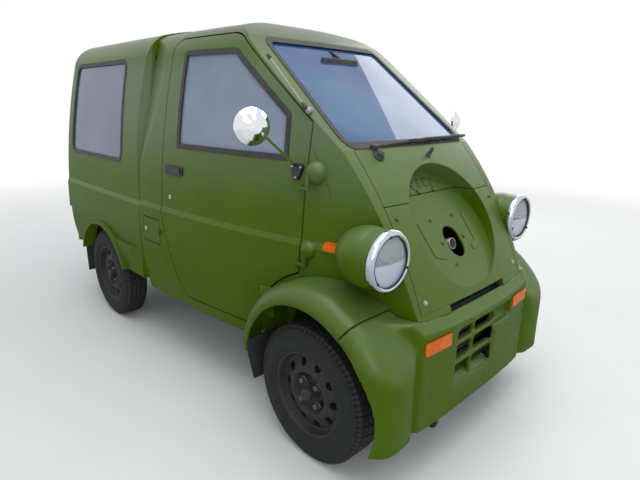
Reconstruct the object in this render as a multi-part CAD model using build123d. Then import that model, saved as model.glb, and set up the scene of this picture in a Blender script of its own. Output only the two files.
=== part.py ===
from build123d import *
import math
import os

# Kei truck with a one-box nose, one door on each side and a raised cargo body.
# Millimetres. +Z is up, the front faces -Y and the driver's side is -X.
# The origin is on the ground, under the middle of the truck's box.

# Overall size
body_length = 2790.0
front_y = -body_length / 2
rear_y = body_length / 2
fender_half_width = 647.0
roof_height = 1705.0

# Wheels and axles
front_axle_y = -1007.0
rear_axle_y = 833.0
tyre_radius = 271.0
tyre_width = 147.0
tyre_rows = (
    # share of the half width, radius
    (0.70, 158.3),
    (1.00, 212.0),
    (0.92, 250.0),
    (0.72, tyre_radius),
)
wheel_plane_x = 541.0
rim_seat_radius = 158.0
rim_flange_radius = 168.0
rim_wall = 6.0
spindle_radius = 15.0
spindle_gap = 0.3
drum_radius = 92.0
vent_hole_radius = 17.0
vent_hole_count = 10
vent_hole_pcd = 246.0
lug_pcd = 110.0
lug_count = 4
lug_radius = 9.0
hub_face_x = -12.0
spindle_end_x = 22.0

# Body walls
wall = 40.0
door_wall = 58.0
panel_skin = 12.0
seam_gap = 6.0
panel_gap = 3.0
seat_gap = 0.3
seal_width = 21.0
seal_proud = 2.5
seal_depth = 18.0
glass_inset = 6.0
glass_thickness = 4.0

# Cab
cab_rear_y = 285.0
cab_half_width = 609.0
cab_plan_radius = 6000.0
nose_crown_centre_y = 3250.0
sill_bottom_z = 330.0
floor_thickness = 12.0
deck_z = 600.0
load_floor = ((-555.0, 320.0), (555.0, 1290.0))
load_floor_rise = 4.0
nose_floor_z = 604.0
wheelhouse_rear_y = -690.0
deck_front_y = -330.0
face_bottom = (-1363.0, nose_floor_z)
lid_bottom_z = 632.0
face_middle = (-1170.0, 982.0)
cowl_top = (-1021.0, 1167.0)
screen_head = (-463.0, 1602.0)
cowl_half_width = 371.0
lid_seam_z = 982.0
quarter_tuck = (
    # x, y, z of three points of the plane that trims the cab's rear quarter
    (-464.0, 285.0, 1500.0),
    (-566.0, 285.0, 1100.0),
    (-503.0, 70.0, 1500.0),
)

# Cab's half-section, seen from the front: corner of half-width and height, point on the arc before it
cab_section_rows = (
    ((579.0, sill_bottom_z), None),
    ((619.0, 680.0), (610.0, 490.0)),
    ((613.0, 806.0), None),
    ((604.0, 830.0), None),
    ((486.0, 1545.0), (560.0, 1205.0)),
    ((385.0, 1651.0), (448.5, 1610.0)),
    ((0.0, 1700.0), (195.0, 1688.0)),
    ((-500.0, 1700.0), None),
    ((-500.0, sill_bottom_z), None),
)

# Cab's side profile: corner of y and z, point on the arc before it
cab_profile_rows = (
    (face_bottom, face_middle),
    ((wheelhouse_rear_y, nose_floor_z), None),
    ((wheelhouse_rear_y, sill_bottom_z), None),
    ((cab_rear_y + 200, sill_bottom_z), None),
    ((cab_rear_y + 200, 1757.0), None),
    ((-200.0, 1697.0), None),
    (screen_head, (-345.0, 1657.0)),
    (cowl_top, None),
)

# Cargo body
cargo_rear_y = rear_y - 7.0
cargo_tail_y = rear_y - 43.0
cargo_corner_radius = 60.0
cargo_corner_foot = (625.0, 812.0)
cargo_corner_lean = 0.1466
bumper_top_z = 626.0
skirt_bottom_z = 385.0
cargo_section_rows = (
    ((592.0, skirt_bottom_z), None),
    ((621.0, 660.0), (614.0, 500.0)),
    ((614.0, 796.0), None),
    ((604.0, 820.0), None),
    ((497.0, 1550.0), (569.0, 1180.0)),
    ((393.0, 1657.0), (458.0, 1616.0)),
    ((0.0, roof_height), (197.0, 1693.0)),
    ((-500.0, roof_height), None),
    ((-500.0, skirt_bottom_z), None),
)
cargo_profile_rows = (
    ((cab_rear_y - 200, skirt_bottom_z), None),
    ((cargo_tail_y, skirt_bottom_z), None),
    ((cargo_tail_y, bumper_top_z), None),
    ((cargo_rear_y - 3, bumper_top_z), None),
    ((cargo_rear_y, 820.0), None),
    ((rear_y - 69.0, 1585.0), None),
    ((rear_y - 183.0, 1690.0), (rear_y - 105.0, 1659.0)),
    ((700.0, 1745.0), None),
    ((cab_rear_y - 200, 1745.0), None),
)
rear_arch_radius = 325.0
rear_arch_lip = 14.0
rear_arch_reach = 645.0
cargo_window = ((508.0, 1000.0), (1300.0, 1000.0), (1262.0, 1545.0), (520.0, 1545.0))
cargo_window_corner = 55.0
flare_rows = (
    # plan of the lower flare ahead of the rear arch: x, y
    (-560.0, 300.0),
    (-617.0, 300.0),
    (-636.0, 400.0),
    (-636.0, 600.0),
    (-560.0, 600.0),
)
flare_top_z = 548.0
flare_slots = (345.0, 358.0, 371.0, 384.0, 397.0, 410.0)

# Doors
door_outline = (
    # y, z, corner radius
    (52.0, 1608.0, 48.0),
    (50.0, 800.0, 150.0),
    (-60.0, 500.0, 200.0),
    (-108.0, 396.0, 25.0),
    (-603.0, 396.0, 8.0),
    (-643.0, 520.5, 405.0),
    (-760.8, 654.8, 405.0),
    (-858.0, 699.0, 10.0),
    (-858.0, 1262.0, 10.0),
    (-402.0, 1608.0, 170.0),
)
door_window = (
    # y, z, corner radius
    (-50.0, 1552.0, 26.0),
    (-66.0, 1121.0, 10.0),
    (-770.0, 1118.0, 10.0),
    (-758.0, 1292.0, 22.0),
    (-412.0, 1547.0, 70.0),
)
door_hinge_x = 505.0
door_hinge_y = -895.0
door_hinge_z = 900.0
door_hinge_lean = 2.5
hinge_radius = 8.0
hinge_eye_height = 14.0
hinge_joint_heights = (1036.0, 744.0)
door_inner_reach = 415.0
mirror_foot = (-480.0, -822.0, 1098.0)
mirror_reach = 720.0
mirror_head_y = -791.0
mirror_head_z = 1249.0
mirror_radius = 66.0
mirror_turns = (-16.0, -28.0)
mirror_rows = ((0.0, 30.0), (24.0, 27.0), (48.0, 14.0), (mirror_radius, -6.0), (mirror_radius, -12.0), (0.0, -12.0))

# Windscreen, in front view
screen_foot_half = 399.0
screen_head_half = 354.0
screen_foot_z = 1172.0
screen_head_z = 1595.0
screen_corner = 45.0

# Round recess of the nose
recess_radius = 260.0
recess_centre = (0.0, -1185.0, 855.0)
recess_wall = 8.0
recess_rib_height = 3.0
recess_rib_rows = ((-170, 48, 8), (-146, 48, 8), (-140, -84, 8), (-96, -100, 6), (-100, -124, 8), (-166, -102, 14))
vent_rows = (
    # offset across, height up the recess, turn of each pressed vent of the fan
    (-112.0, 190.0, 32.0),
    (-68.0, 203.0, 18.0),
    (-22.0, 212.0, 6.0),
    (22.0, 212.0, -6.0),
    (68.0, 203.0, -18.0),
    (112.0, 190.0, -32.0),
)
lip_rows = ((-66, 166, 3), (-40, 166, 3), (-44, 180, 5), (-62, 180, 5))
recess_tilt = math.degrees(math.atan2(331.0, 411.0))

# Tailgate
gate_bottom_z = 640.0
gate_top_z = 1592.0
gate_foot_half = 500.0
gate_head_half = 425.0
gate_corner = 60.0
gate_wall = 45.0
gate_hinge_y = rear_y - 62.0
gate_hinge_z = 1606.0
gate_barrel_radius = 8.0
gate_hinge_x = (-270.0, 270.0)

# Front fenders
arch_centre_y = -1020.0
arch_centre_z = 305.0
arch_radius = 330.0
fender_rear_angle = 83.0
fender_skin = 8.0
fender_seam_angle = 57.0
arch_section_rows = (
    # corner of x and height above the arch's centre, and a point on the arc before it
    ((-fender_half_width, 100.0), None),
    ((-400.0, 100.0), None),
    ((-400.0, 405.0), None),
    ((-575.0, 402.0), None),
    ((-fender_half_width, 332.0), (-631.0, 377.0)),
)

# Front bumper: plans of its middle and of its ends, and their side profiles
bumper_skin = 10.0
bumper_middle_rows = (
    ((-540.0, -1150.0), None),
    ((-540.0, -1240.0), None),
    ((-399.0, front_y + 18.0), None),
    ((100.0, front_y + 1.13), (-150.0, front_y + 2.54)),
    ((100.0, -1150.0), None),
)
bumper_end_rows = (
    ((-fender_half_width, -1150.0), None),
    ((-fender_half_width, front_y + 105.0), None),
    ((-500.0, front_y + 5.0), (-610.0, front_y + 31.0)),
    ((-413.0, front_y + 45.0), (-452.0, front_y + 15.0)),
    ((-380.0, front_y + 60.0), None),
    ((-380.0, -1150.0), None),
)
bumper_profile_rows = (
    ((-1150.0, 622.0), None),
    ((front_y + 53.0, 622.0), None),
    ((front_y + 13.0, 574.0), None),
    ((front_y - 5.0, 545.0), (front_y - 1.0, 562.0)),
    ((front_y - 5.0, 240.0), None),
    ((front_y + 15.0, 196.0), (front_y - 2.0, 214.0)),
    ((-1150.0, 214.0), None),
)
bumper_foot_rows = (
    ((-1150.0, 760.0), None),
    ((front_y - 5.0, 760.0), None),
    ((front_y - 5.0, 240.0), None),
    ((front_y + 15.0, 196.0), (front_y - 2.0, 214.0)),
    ((-1150.0, 214.0), None),
)
bumper_back_y = -1180.0
slot_half = 206.0
grille_rows = ((-200, 315, 14), (75, 315, 14), (75, 540, 14), (-200, 540, 24))
slat_heights = (482.0, 402.0)
slat_height = 20.0
slat_depth = 34.0
grille_post_x = -75.0
side_recess = ((75.0, 472.0), (235.0, 542.0))
side_recess_depth = 26.0
indicator_proud = 3.0
plate_hole_x = (168.0, 321.0)
plate_hole_z = 438.0
plate_hole_radius = 3.5
indicator_rows = ((-392, 499, 8), (-245, 499, 8), (-245, 548, 8), (-392, 548, 8))

# Lamps
lamp_x = 481.0
lamp_z = 835.0
lamp_front_y = -1262.0
pod_radius = 103.0
pod_tip_y = -1050.0
ring_radius = 108.5
lens_radius = 87.0
lens_bulge = 16.0
marker_rows = ((-968, 841, 14), (-1031, 841, 14), (-1031, 806, 14), (-968, 806, 14))
tail_lamp_rows = ((-590, 655, 12), (-530, 655, 12), (-524, 805, 12), (-584, 805, 12))

# Fuel flap
flap_rows = ((70, 628, 14), (242, 628, 14), (242, 750, 14), (70, 750, 14))
flap_skin = 10.0
flap_pocket = 30.0
flap_hinge = (-622.0, 62.0, 694.0)
flap_hinge_radius = 3.2

# Underbody
rail_low = (265.0, 310.0)
rail_high = (315.0, 370.0)
rail_front_y = front_y + 3.0
rail_rear_y = cargo_tail_y - 2.0
tow_hook = (-272.0, front_y + 45.0, 176.0)
cross_members = (
    # low y, high y, low z
    (-1290, -1240, 320),
    (-690, -650, 320),
    (200, 240, 335),
    (rail_rear_y - 50, rail_rear_y, 320),
)
steer_foot = (495.0, 185.0)
steer_head = (385.0, 640.0)
knuckle_low = 205.0
knuckle_high = 350.0
knuckle_radius = 22.0
steer_arm_length = 108.0
joint_gap = 0.4
axle_tube_radius = 30.0

# Cabin
steering_centre = (-225.0, -585.0, 1030.0)
steering_radius = 165.0
seat_half_width = 200.0
seat_x = 225.0

shapes = {}


def keep(node, shape):
    """Files a finished piece under its node's name."""
    shapes[node] = shape


def polygon(points):
    return make_face(Polyline(*points, close=True))


def rounded(rows):
    """A closed outline whose corners are given as first, second, radius."""
    points = [(row[0], row[1]) for row in rows]
    face = make_face(Polyline(*points, close=True))
    for row in rows:
        corner = face.vertices().sort_by_distance((row[0], row[1], 0))[0]
        face = fillet(corner, row[2])
    return face


def grown(rows, amount):
    """The rows of a rounded outline with its sides moved outwards by amount."""
    count = len(rows)
    area = 0
    for index in range(count):
        here, after = rows[index - 1], rows[index]
        area += here[0] * after[1] - after[0] * here[1]
    turn = 1 if area > 0 else -1
    moved = []
    for index in range(count):
        here = Vector(rows[index][0], rows[index][1])
        before = (here - Vector(rows[index - 1][0], rows[index - 1][1])).normalized()
        following = rows[(index + 1) % count]
        after = (Vector(following[0], following[1]) - here).normalized()
        out_before = Vector(before.Y, -before.X) * turn
        out_after = Vector(after.Y, -after.X) * turn
        corner = here + (out_before + out_after) * (amount / (1 + out_before.dot(out_after)))
        convex = before.cross(after).Z * turn > 0
        radius = rows[index][2] + (amount if convex else -amount)
        moved.append((corner.X, corner.Y, max(radius, 1.0)))
    return moved


def across(sketch, low_x, high_x):
    """A side-view sketch of y and z, swept straight across from low_x to high_x."""
    return Pos(low_x, 0, 0) * extrude(Plane.YZ * sketch, amount=high_x - low_x)


def along(sketch, low_y, high_y):
    """A front-view sketch of x and z, swept straight back from low_y to high_y."""
    return Pos(0, high_y, 0) * extrude(Plane.XZ * sketch, amount=high_y - low_y)


def upward(sketch, low_z, high_z):
    """A plan sketch of x and y, raised from low_z to high_z."""
    return Pos(0, 0, low_z) * extrude(sketch, amount=high_z - low_z)


def block(low, high):
    size = [high[i] - low[i] for i in range(3)]
    middle = [(high[i] + low[i]) / 2 for i in range(3)]
    return Pos(*middle) * Box(*size)


def rod(start, end, radius):
    """A round bar between two points."""
    run = Vector(*end) - Vector(*start)
    base = Plane(origin=start, z_dir=run)
    return extrude(base * Circle(radius), amount=run.length)


def both(piece):
    """A driver's-side piece with its mirror image."""
    return [piece, mirror(piece, about=Plane.YZ)]


def inward(run, at):
    """The normal on the left of a run, at a share of its length."""
    ahead = run % at
    return Vector(-ahead.Y, ahead.X, 0)


def outline_of(rows, inset):
    """A closed face moved inwards by inset, from a table that runs anticlockwise.

    Each row has a corner and, for an arc that leads to it, a point on that arc.
    """
    count = len(rows)
    runs = []
    for index in range(count):
        start = rows[index - 1][0]
        end, via = rows[index]
        runs.append(ThreePointArc(start, via, end) if via else Line(start, end))
    if inset == 0:
        return make_face(runs)
    corners = []
    for index in range(count):
        first = inward(runs[index], 1)
        second = inward(runs[(index + 1) % count], 0)
        reach = inset / (1 + first.dot(second))
        corners.append(Vector(*rows[index][0]) + (first + second) * reach)
    moved = []
    for index in range(count):
        start, end = corners[index - 1], corners[index]
        if rows[index][1]:
            via = (runs[index] @ 0.5) + inward(runs[index], 0.5) * inset
            moved.append(ThreePointArc(start, via, end))
        else:
            moved.append(Line(start, end))
    return make_face(moved)


volumes = {}


def beyond_tuck(inset):
    """What lies outside the plane that trims the driver's side rear quarter, moved inwards by inset."""
    first, second, third = [Vector(*point) for point in quarter_tuck]
    outwards = (third - first).cross(second - first).normalized()
    if outwards.X > 0:
        outwards = outwards * -1
    face = Plane(origin=first - outwards * inset, z_dir=outwards)
    return extrude(face * Rectangle(2400, 2400), amount=300)


def cab_volume(inset):
    """The cab's closed outer form, moved inwards by inset. It runs on 100 mm behind its rear seam."""
    if ("cab", inset) in volumes:
        return volumes["cab", inset]
    section = outline_of(cab_section_rows, inset)
    side_axis = Axis((cab_half_width - cab_plan_radius, cab_rear_y, 0), (0, 0, 1))
    half = revolve(Pos(0, cab_rear_y, 0) * (Plane.XZ * section), side_axis, -18)
    half += along(section, cab_rear_y, cab_rear_y + 100)
    half &= block((0, -2000, 0), (900, 900, 2000))
    profile = outline_of(cab_profile_rows, inset)
    crown_axis = Axis((0, nose_crown_centre_y, 0), (0, 0, 1))
    half &= revolve(Plane.YZ * profile, crown_axis, 12)
    half -= mirror(beyond_tuck(inset), about=Plane.YZ)
    volumes["cab", inset] = half + mirror(half, about=Plane.YZ)
    return volumes["cab", inset]


def cargo_corner(inset):
    """What the rounding takes off the passenger's side front edge above the belt; it leans with the wall."""
    foot_x, foot_z = cargo_corner_foot
    radius = cargo_corner_radius - inset
    middle = (foot_x - cargo_corner_radius, cab_rear_y + cargo_corner_radius - 2)
    square = polygon((
        middle,
        (middle[0], cab_rear_y - 30),
        (foot_x + 60, cab_rear_y - 30),
        (foot_x + 60, middle[1]),
    ))
    plan = Pos(0, 0, foot_z) * (square - Pos(*middle) * Circle(radius))
    return extrude(plan, amount=820, dir=Vector(-cargo_corner_lean, 0, 1).normalized())


def cargo_volume(inset):
    """The cargo body's closed outer form, moved inwards by inset."""
    if ("cargo", inset) in volumes:
        return volumes["cargo", inset]
    section = outline_of(cargo_section_rows, inset)
    half = along(section, cab_rear_y, cargo_rear_y + 50)
    half -= cargo_corner(inset)
    half &= block((0, -2000, 0), (900, 2000, 2000))
    profile = outline_of(cargo_profile_rows, inset)
    volumes["cargo", inset] = (half + mirror(half, about=Plane.YZ)) & across(profile, -800, 800)
    return volumes["cargo", inset]


behind_cab = block((-900, cab_rear_y, 0), (900, 2000, 2200))
ahead_of_cargo = block((-900, -2000, 0), (900, cab_rear_y + seat_gap, 2200))


def driver_side(sketch):
    """A side-view sketch made into a cutter through the driver's side wall."""
    return across(sketch, -760, -door_inner_reach + 60)


def hinge_point(height):
    """A point of the driver's door's hinge axis."""
    lean = math.tan(math.radians(door_hinge_lean))
    return (-door_hinge_x + (height - door_hinge_z) * lean, door_hinge_y, height)


door_face = rounded(door_outline)
door_opening = rounded(grown(door_outline, seam_gap))
door_rebate = rounded(grown(door_outline, seam_gap + 9))
window_face = rounded(door_window)
window_glass_face = rounded(grown(door_window, -seal_width))

screen_rows = (
    (-screen_foot_half, screen_foot_z, screen_corner),
    (screen_foot_half, screen_foot_z, screen_corner),
    (screen_head_half, screen_head_z, screen_corner),
    (-screen_head_half, screen_head_z, screen_corner),
)
screen_face = rounded(screen_rows)
screen_glass_face = rounded(grown(screen_rows, -seal_width))

cargo_window_rows = [(y, z, cargo_window_corner) for y, z in cargo_window]
cargo_window_face = rounded(cargo_window_rows)
cargo_glass_face = rounded(grown(cargo_window_rows, -seal_width))

gate_rows = (
    (-gate_foot_half, gate_bottom_z, gate_corner),
    (gate_foot_half, gate_bottom_z, gate_corner),
    (gate_head_half, gate_top_z, gate_corner),
    (-gate_head_half, gate_top_z, gate_corner),
)
gate_face = rounded(gate_rows)
gate_opening = rounded(grown(gate_rows, seam_gap))
gate_window_rows = ((-385, 1020, 50), (385, 1020, 50), (350, 1500, 50), (-350, 1500, 50))
gate_window_face = rounded(gate_window_rows)
gate_glass_face = rounded(grown(gate_window_rows, -seal_width))


def ring_layer(volume_of, outer_inset, inner_inset):
    return volume_of(outer_inset) - volume_of(inner_inset)


# Front panels: the cowl under the windscreen and the bolted lid below it share the round recess
recess_plane = Plane(
    origin=recess_centre,
    x_dir=(1, 0, 0),
    z_dir=(0, -math.cos(math.radians(recess_tilt)), math.sin(math.radians(recess_tilt))),
)
recess_room = extrude(recess_plane * Circle(recess_radius), amount=160)
recess_dish = extrude(
    recess_plane.offset(-recess_wall) * Circle(recess_radius + recess_wall), amount=160
) & cab_volume(0)
face_outline = polygon(
    (
        (-cowl_half_width, lid_bottom_z),
        (cowl_half_width, lid_bottom_z),
        (cowl_half_width, cowl_top[1]),
        (-cowl_half_width, cowl_top[1]),
    )
)
face_opening = polygon(
    (
        (-cowl_half_width - panel_gap, lid_bottom_z - seat_gap),
        (cowl_half_width + panel_gap, lid_bottom_z - seat_gap),
        (cowl_half_width + panel_gap, cowl_top[1] + seat_gap),
        (-cowl_half_width - panel_gap, cowl_top[1] + seat_gap),
    )
)


def front_panels():
    skin = ring_layer(cab_volume, 0, panel_skin) & along(face_outline, front_y - 100, -900)
    skin = skin + recess_dish - recess_room
    skin &= along(face_outline, front_y - 100, -900)
    raised = recess_plane.offset(-1)
    for side in (-1, 1):
        rib = rounded([(side * x, height, radius) for x, height, radius in recess_rib_rows])
        skin += extrude(raised * rib, amount=recess_rib_height + 1)
        lip = rounded([(side * x, height, radius) for x, height, radius in lip_rows])
        skin += extrude(raised * lip, amount=8)
    for x, height, turn in vent_rows:
        place = raised * Pos(x, height) * Rot(0, 0, turn)
        skin += extrude(place * RectangleRounded(24, 42, 8), amount=recess_rib_height + 1)
        skin -= extrude(place * Pos(0, 15) * RectangleRounded(16, 5, 2), amount=30, both=True)
    top = block((-900, front_y - 100, lid_seam_z + panel_gap / 2), (900, -800, 2000))
    bottom = block((-900, front_y - 100, 0), (900, -800, lid_seam_z - panel_gap / 2))
    hole = extrude(recess_plane.offset(-60) * Pos(0, -62) * SlotOverall(137, 100, rotation=90), amount=160)
    return skin & top, (skin & bottom) - hole


def cab_shell():
    shell = cab_volume(0) - cab_volume(wall) - behind_cab
    shell -= block((-520, wheelhouse_rear_y - 10, 300), (520, cab_rear_y, rail_high[1] + seat_gap))
    for side in (1, -1):
        opening = driver_side(door_opening)
        rebate = driver_side(door_rebate) & cab_volume(20)
        cutter = opening + rebate
        if side < 0:
            cutter = mirror(cutter, about=Plane.YZ)
        shell -= cutter
    shell -= along(screen_face, -1150, -300)
    shell -= along(face_opening, front_y - 100, -900)
    shell -= block((-slot_half, front_y - 100, 500), (slot_half, -1322, lid_bottom_z))
    for place in ((477, -903, 1084, 46), (503, -898, 794, 38)):
        x, y, z, radius = place
        dome = Pos(-x + radius * 0.55, y, z) * Sphere(radius)
        dome &= block((-800, -1100, 500), (0, -858 - seam_gap, 1300))
        for piece in both(dome):
            shell += piece - cab_volume(wall)
    for height in hinge_joint_heights:
        barrel = rod(hinge_point(height + joint_gap), hinge_point(height + 48), hinge_radius)
        for piece in both(barrel):
            shell += piece
    return shell


def cargo_shell():
    shell = cargo_volume(0) - cargo_volume(wall) - ahead_of_cargo
    shell -= block((-540, cab_rear_y, 300), (540, cargo_tail_y - wall, 440))
    shell -= across(cargo_window_face, -900, 900)
    shell -= along(gate_opening, 1200, rear_y + 100)
    arch = rod((-900, rear_axle_y, tyre_radius), (900, rear_axle_y, tyre_radius), rear_arch_radius)
    lip = rod(
        (-rear_arch_reach, rear_axle_y, tyre_radius),
        (rear_arch_reach, rear_axle_y, tyre_radius),
        rear_arch_radius + rear_arch_lip,
    )
    lip &= block((-900, 0, skirt_bottom_z), (900, 2000, 900))
    lip -= block((-584, 0, 0), (584, 2000, 1000))
    flare = upward(polygon(flare_rows), skirt_bottom_z, flare_top_z) & cargo_volume(-20)
    for y in flare_slots:
        flare -= block((-660, y, 418), (-633, y + 5, 482))
    for piece in both(flare - cargo_volume(panel_skin)):
        shell += piece
    shell = shell + lip - arch
    for x in gate_hinge_x:
        start, end = x + joint_gap, x + 30
        shell += rod((start, gate_hinge_y, gate_hinge_z), (end, gate_hinge_y, gate_hinge_z), gate_barrel_radius)
        shell += block((start, 1300, gate_hinge_z - 6), (end, gate_hinge_y, gate_hinge_z + 6))
    return shell


def arch_form(inset, ahead, behind):
    """The filled outer form over the driver's side front wheel, moved inwards by inset."""
    section = Pos(0, arch_centre_y, arch_centre_z) * (Plane.XZ * outline_of(arch_section_rows, inset))
    axle = Axis((0, arch_centre_y, arch_centre_z), (1, 0, 0))
    form = revolve(section, axis=axle, revolution_arc=ahead)
    if behind:
        form += revolve(section, axis=axle, revolution_arc=-behind)
    return form


def above_seam(shift):
    """What lies above and behind the seam of bumper and fender, moved up by shift."""
    wedge = block((-900, -1200, shift), (900, 1200, 1200))
    return Pos(0, arch_centre_y, arch_centre_z) * Rot(-fender_seam_angle, 0, 0) * wedge


def bumper_volume(inset):
    """The front bumper's closed outer form, moved inwards by inset: its middle and its two ends."""
    if ("bumper", inset) in volumes:
        return volumes["bumper", inset]
    middle = upward(outline_of(bumper_middle_rows, inset), 150, 700)
    middle &= across(outline_of(bumper_profile_rows, inset), -800, 800)
    down = Plane(origin=(0, arch_centre_y, arch_centre_z), x_dir=(1, 0, 0), z_dir=(0, 0, -1))
    limits = upward(outline_of(bumper_end_rows, inset), 150, 760)
    limits &= across(outline_of(bumper_foot_rows, inset), -800, 800)
    end = arch_form(inset, 90, 0) & limits
    end += extrude(down * outline_of(arch_section_rows, inset), amount=160) & limits
    half = (middle + end) & block((-900, front_y - 100, 0), (0, -1000, 900))
    volumes["bumper", inset] = half + mirror(half, about=Plane.YZ)
    return volumes["bumper", inset]


def arch_cutter(radius, low_x, high_x):
    return rod((low_x, arch_centre_y, arch_centre_z), (high_x, arch_centre_y, arch_centre_z), radius)


def front_bumper():
    outer = bumper_volume(0)
    inner = bumper_volume(bumper_skin)
    cover = outer - inner
    for face in (inner & block((-900, front_y, 240), (900, -1000, 300))).faces().filter_by_position(Axis.Z, 239, 241):
        cover -= extrude(face, amount=100, dir=(0, 0, -1))
    cover -= block((-900, bumper_back_y, 0), (900, -1000, 900))
    cover -= cab_volume(-seat_gap)
    cover -= above_seam(-panel_gap / 2)
    for side in (-1, 1):
        cover -= arch_cutter(arch_radius, side * 425, side * 900)
    cover -= along(rounded(grille_rows), front_y - 100, -1300)
    (recess_low_x, recess_low_z), (recess_high_x, recess_high_z) = side_recess
    pan_low = (recess_low_x - 4, front_y + 2, recess_low_z - 4)
    pan_high = (recess_high_x + 4, front_y + side_recess_depth + 4, recess_high_z + 4)
    cover += block(pan_low, pan_high) & bumper_volume(0)
    cover -= block(
        (recess_low_x, front_y - 100, recess_low_z),
        (recess_high_x, front_y + side_recess_depth, recess_high_z),
    )
    low_x, low_z, high_x, high_z = grille_rows[0][0], grille_rows[0][1], grille_rows[2][0], grille_rows[2][1]
    for height in slat_heights:
        slat = block(
            (low_x - 3, front_y + 6, height - slat_height / 2),
            (high_x + 3, front_y + slat_depth, height + slat_height / 2),
        )
        cover += slat & bumper_volume(2)
    cover += block((grille_post_x - 9, front_y + 10, low_z - 3), (grille_post_x + 9, front_y + 30, high_z + 3))
    for piece in both(along(rounded(indicator_rows), front_y - 100, -1300)):
        cover -= piece
    for x in plate_hole_x:
        cover -= rod((x, front_y - 100, plate_hole_z), (x, -1350, plate_hole_z), plate_hole_radius)
    return cover


def front_fender():
    form = arch_form(0, 90, fender_rear_angle) - arch_form(fender_skin, 90, fender_rear_angle)
    form &= above_seam(panel_gap / 2)
    form -= arch_cutter(arch_section_rows[-1][0][1], -900, -380)
    return (form - cab_volume(-seat_gap)).solids().sort_by(SortBy.VOLUME)[-1]


def tyre_section():
    """The tyre's cut face, on the wheel's middle plane; x runs outwards along the axle."""
    half = tyre_width / 2
    outer = [(half * share, radius) for share, radius in tyre_rows]
    inner = [(-x, radius) for x, radius in reversed(outer)]
    return polygon(outer + inner)


def rim_section():
    """The steel wheel's cut face: barrel, dished disc with a raised ring, brake drum, outer flange."""
    flange = rim_flange_radius
    seat = rim_seat_radius
    edge = tyre_width / 2 - 14
    under = seat - 14 - rim_wall
    return polygon((
        (-edge - 3, flange),
        (-edge - 3, seat - rim_wall),
        (-24, under),
        (30, under),
        (38, 130),
        (38, 106),
        (30, drum_radius),
        (hub_face_x, drum_radius),
        (hub_face_x, 0),
        (48, 0),
        (48, 28),
        (34, 34),
        (34, 76),
        (52, 88),
        (52, 98),
        (46, 106),
        (46, 149.5),
        (edge - 10, seat - rim_wall),
        (edge + 3, seat - rim_wall),
        (edge + 3, flange),
        (edge, flange),
        (edge, seat),
        (-edge, seat),
        (-edge, flange),
    ))


def around(count, pitch_diameter, offset):
    """Points of y and z on a circle; offset is a share of one step."""
    points = []
    for index in range(count):
        angle = 2 * math.pi * (index + offset) / count
        points.append((pitch_diameter / 2 * math.cos(angle), pitch_diameter / 2 * math.sin(angle)))
    return points


def wheel():
    """Tyre and rim of a wheel on the +X side, with its centre at the origin."""
    tyre = revolve(Plane.XZ * tyre_section(), Axis.X, 360)
    rim = revolve(Plane.XZ * rim_section(), Axis.X, 360)
    rim -= rod((hub_face_x - 5, 0, 0), (spindle_end_x + 2, 0, 0), spindle_radius + spindle_gap)
    for y, z in around(vent_hole_count, vent_hole_pcd, 0):
        rim -= rod((33, y, z), (60, y, z), vent_hole_radius)
    for y, z in around(lug_count, lug_pcd, 0.5):
        rim += rod((30, y, z), (50, y, z), lug_radius)
    return tyre, rim


def steer_point(height):
    """x of the steering axis at a height, on the +X side."""
    share = (height - steer_foot[1]) / (steer_head[1] - steer_foot[1])
    return steer_foot[0] + share * (steer_head[0] - steer_foot[0])


def steer_bar(low, high, radius):
    return rod((steer_point(low), front_axle_y, low), (steer_point(high), front_axle_y, high), radius)


def knuckle():
    upright = steer_bar(knuckle_low, knuckle_high, knuckle_radius)
    spindle = rod(
        (steer_point(tyre_radius), front_axle_y, tyre_radius),
        (wheel_plane_x + spindle_end_x, front_axle_y, tyre_radius),
        spindle_radius,
    )
    arm = block(
        (steer_point(230) - 12, front_axle_y, 222),
        (steer_point(230) + 12, front_axle_y + steer_arm_length, 240),
    )
    return upright + spindle + arm


def front_suspension():
    """Cross beam with lower arms and ball pins, and the two struts up to the nose floor."""
    beam = block((-300, front_axle_y - 35, 160), (300, front_axle_y + 35, rail_low[1] - seat_gap))
    arm = block((290, front_axle_y - 20, 160), (steer_point(165), front_axle_y + 20, 178))
    arm += steer_bar(165, knuckle_low - joint_gap, 18)
    for piece in both(arm):
        beam += piece
    over_floor = block((0, -1200, nose_floor_z - seat_gap), (600, -800, 900))
    strut = steer_bar(knuckle_high + joint_gap, nose_floor_z + 20, 19) - over_floor
    return Compound([beam] + both(strut))


def chassis():
    frame = None
    for side in (-1, 1):
        low_x, high_x = sorted((side * rail_low[0], side * rail_high[0]))
        rail = block((low_x, rail_front_y, rail_low[1]), (high_x, rail_rear_y, rail_high[1]))
        frame = rail if frame is None else frame + rail
    for low_y, high_y, low_z in cross_members:
        frame += block((-rail_low[0] - 5, low_y, low_z), (rail_low[0] + 5, high_y, rail_high[1] - 5))
    frame &= bumper_volume(bumper_skin + seat_gap) + block((-400, -1300, 0), (400, 1400, 900))
    hook_x, hook_y, hook_z = tow_hook
    stem = rod((hook_x, hook_y, hook_z + 24), (hook_x, hook_y, rail_low[1] + 2), 7)
    ring = rod((hook_x - 6, hook_y, hook_z), (hook_x + 6, hook_y, hook_z), 27)
    eye = rod((hook_x - 8, hook_y, hook_z), (hook_x + 8, hook_y, hook_z), 14)
    return frame + stem + ring - eye


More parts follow.
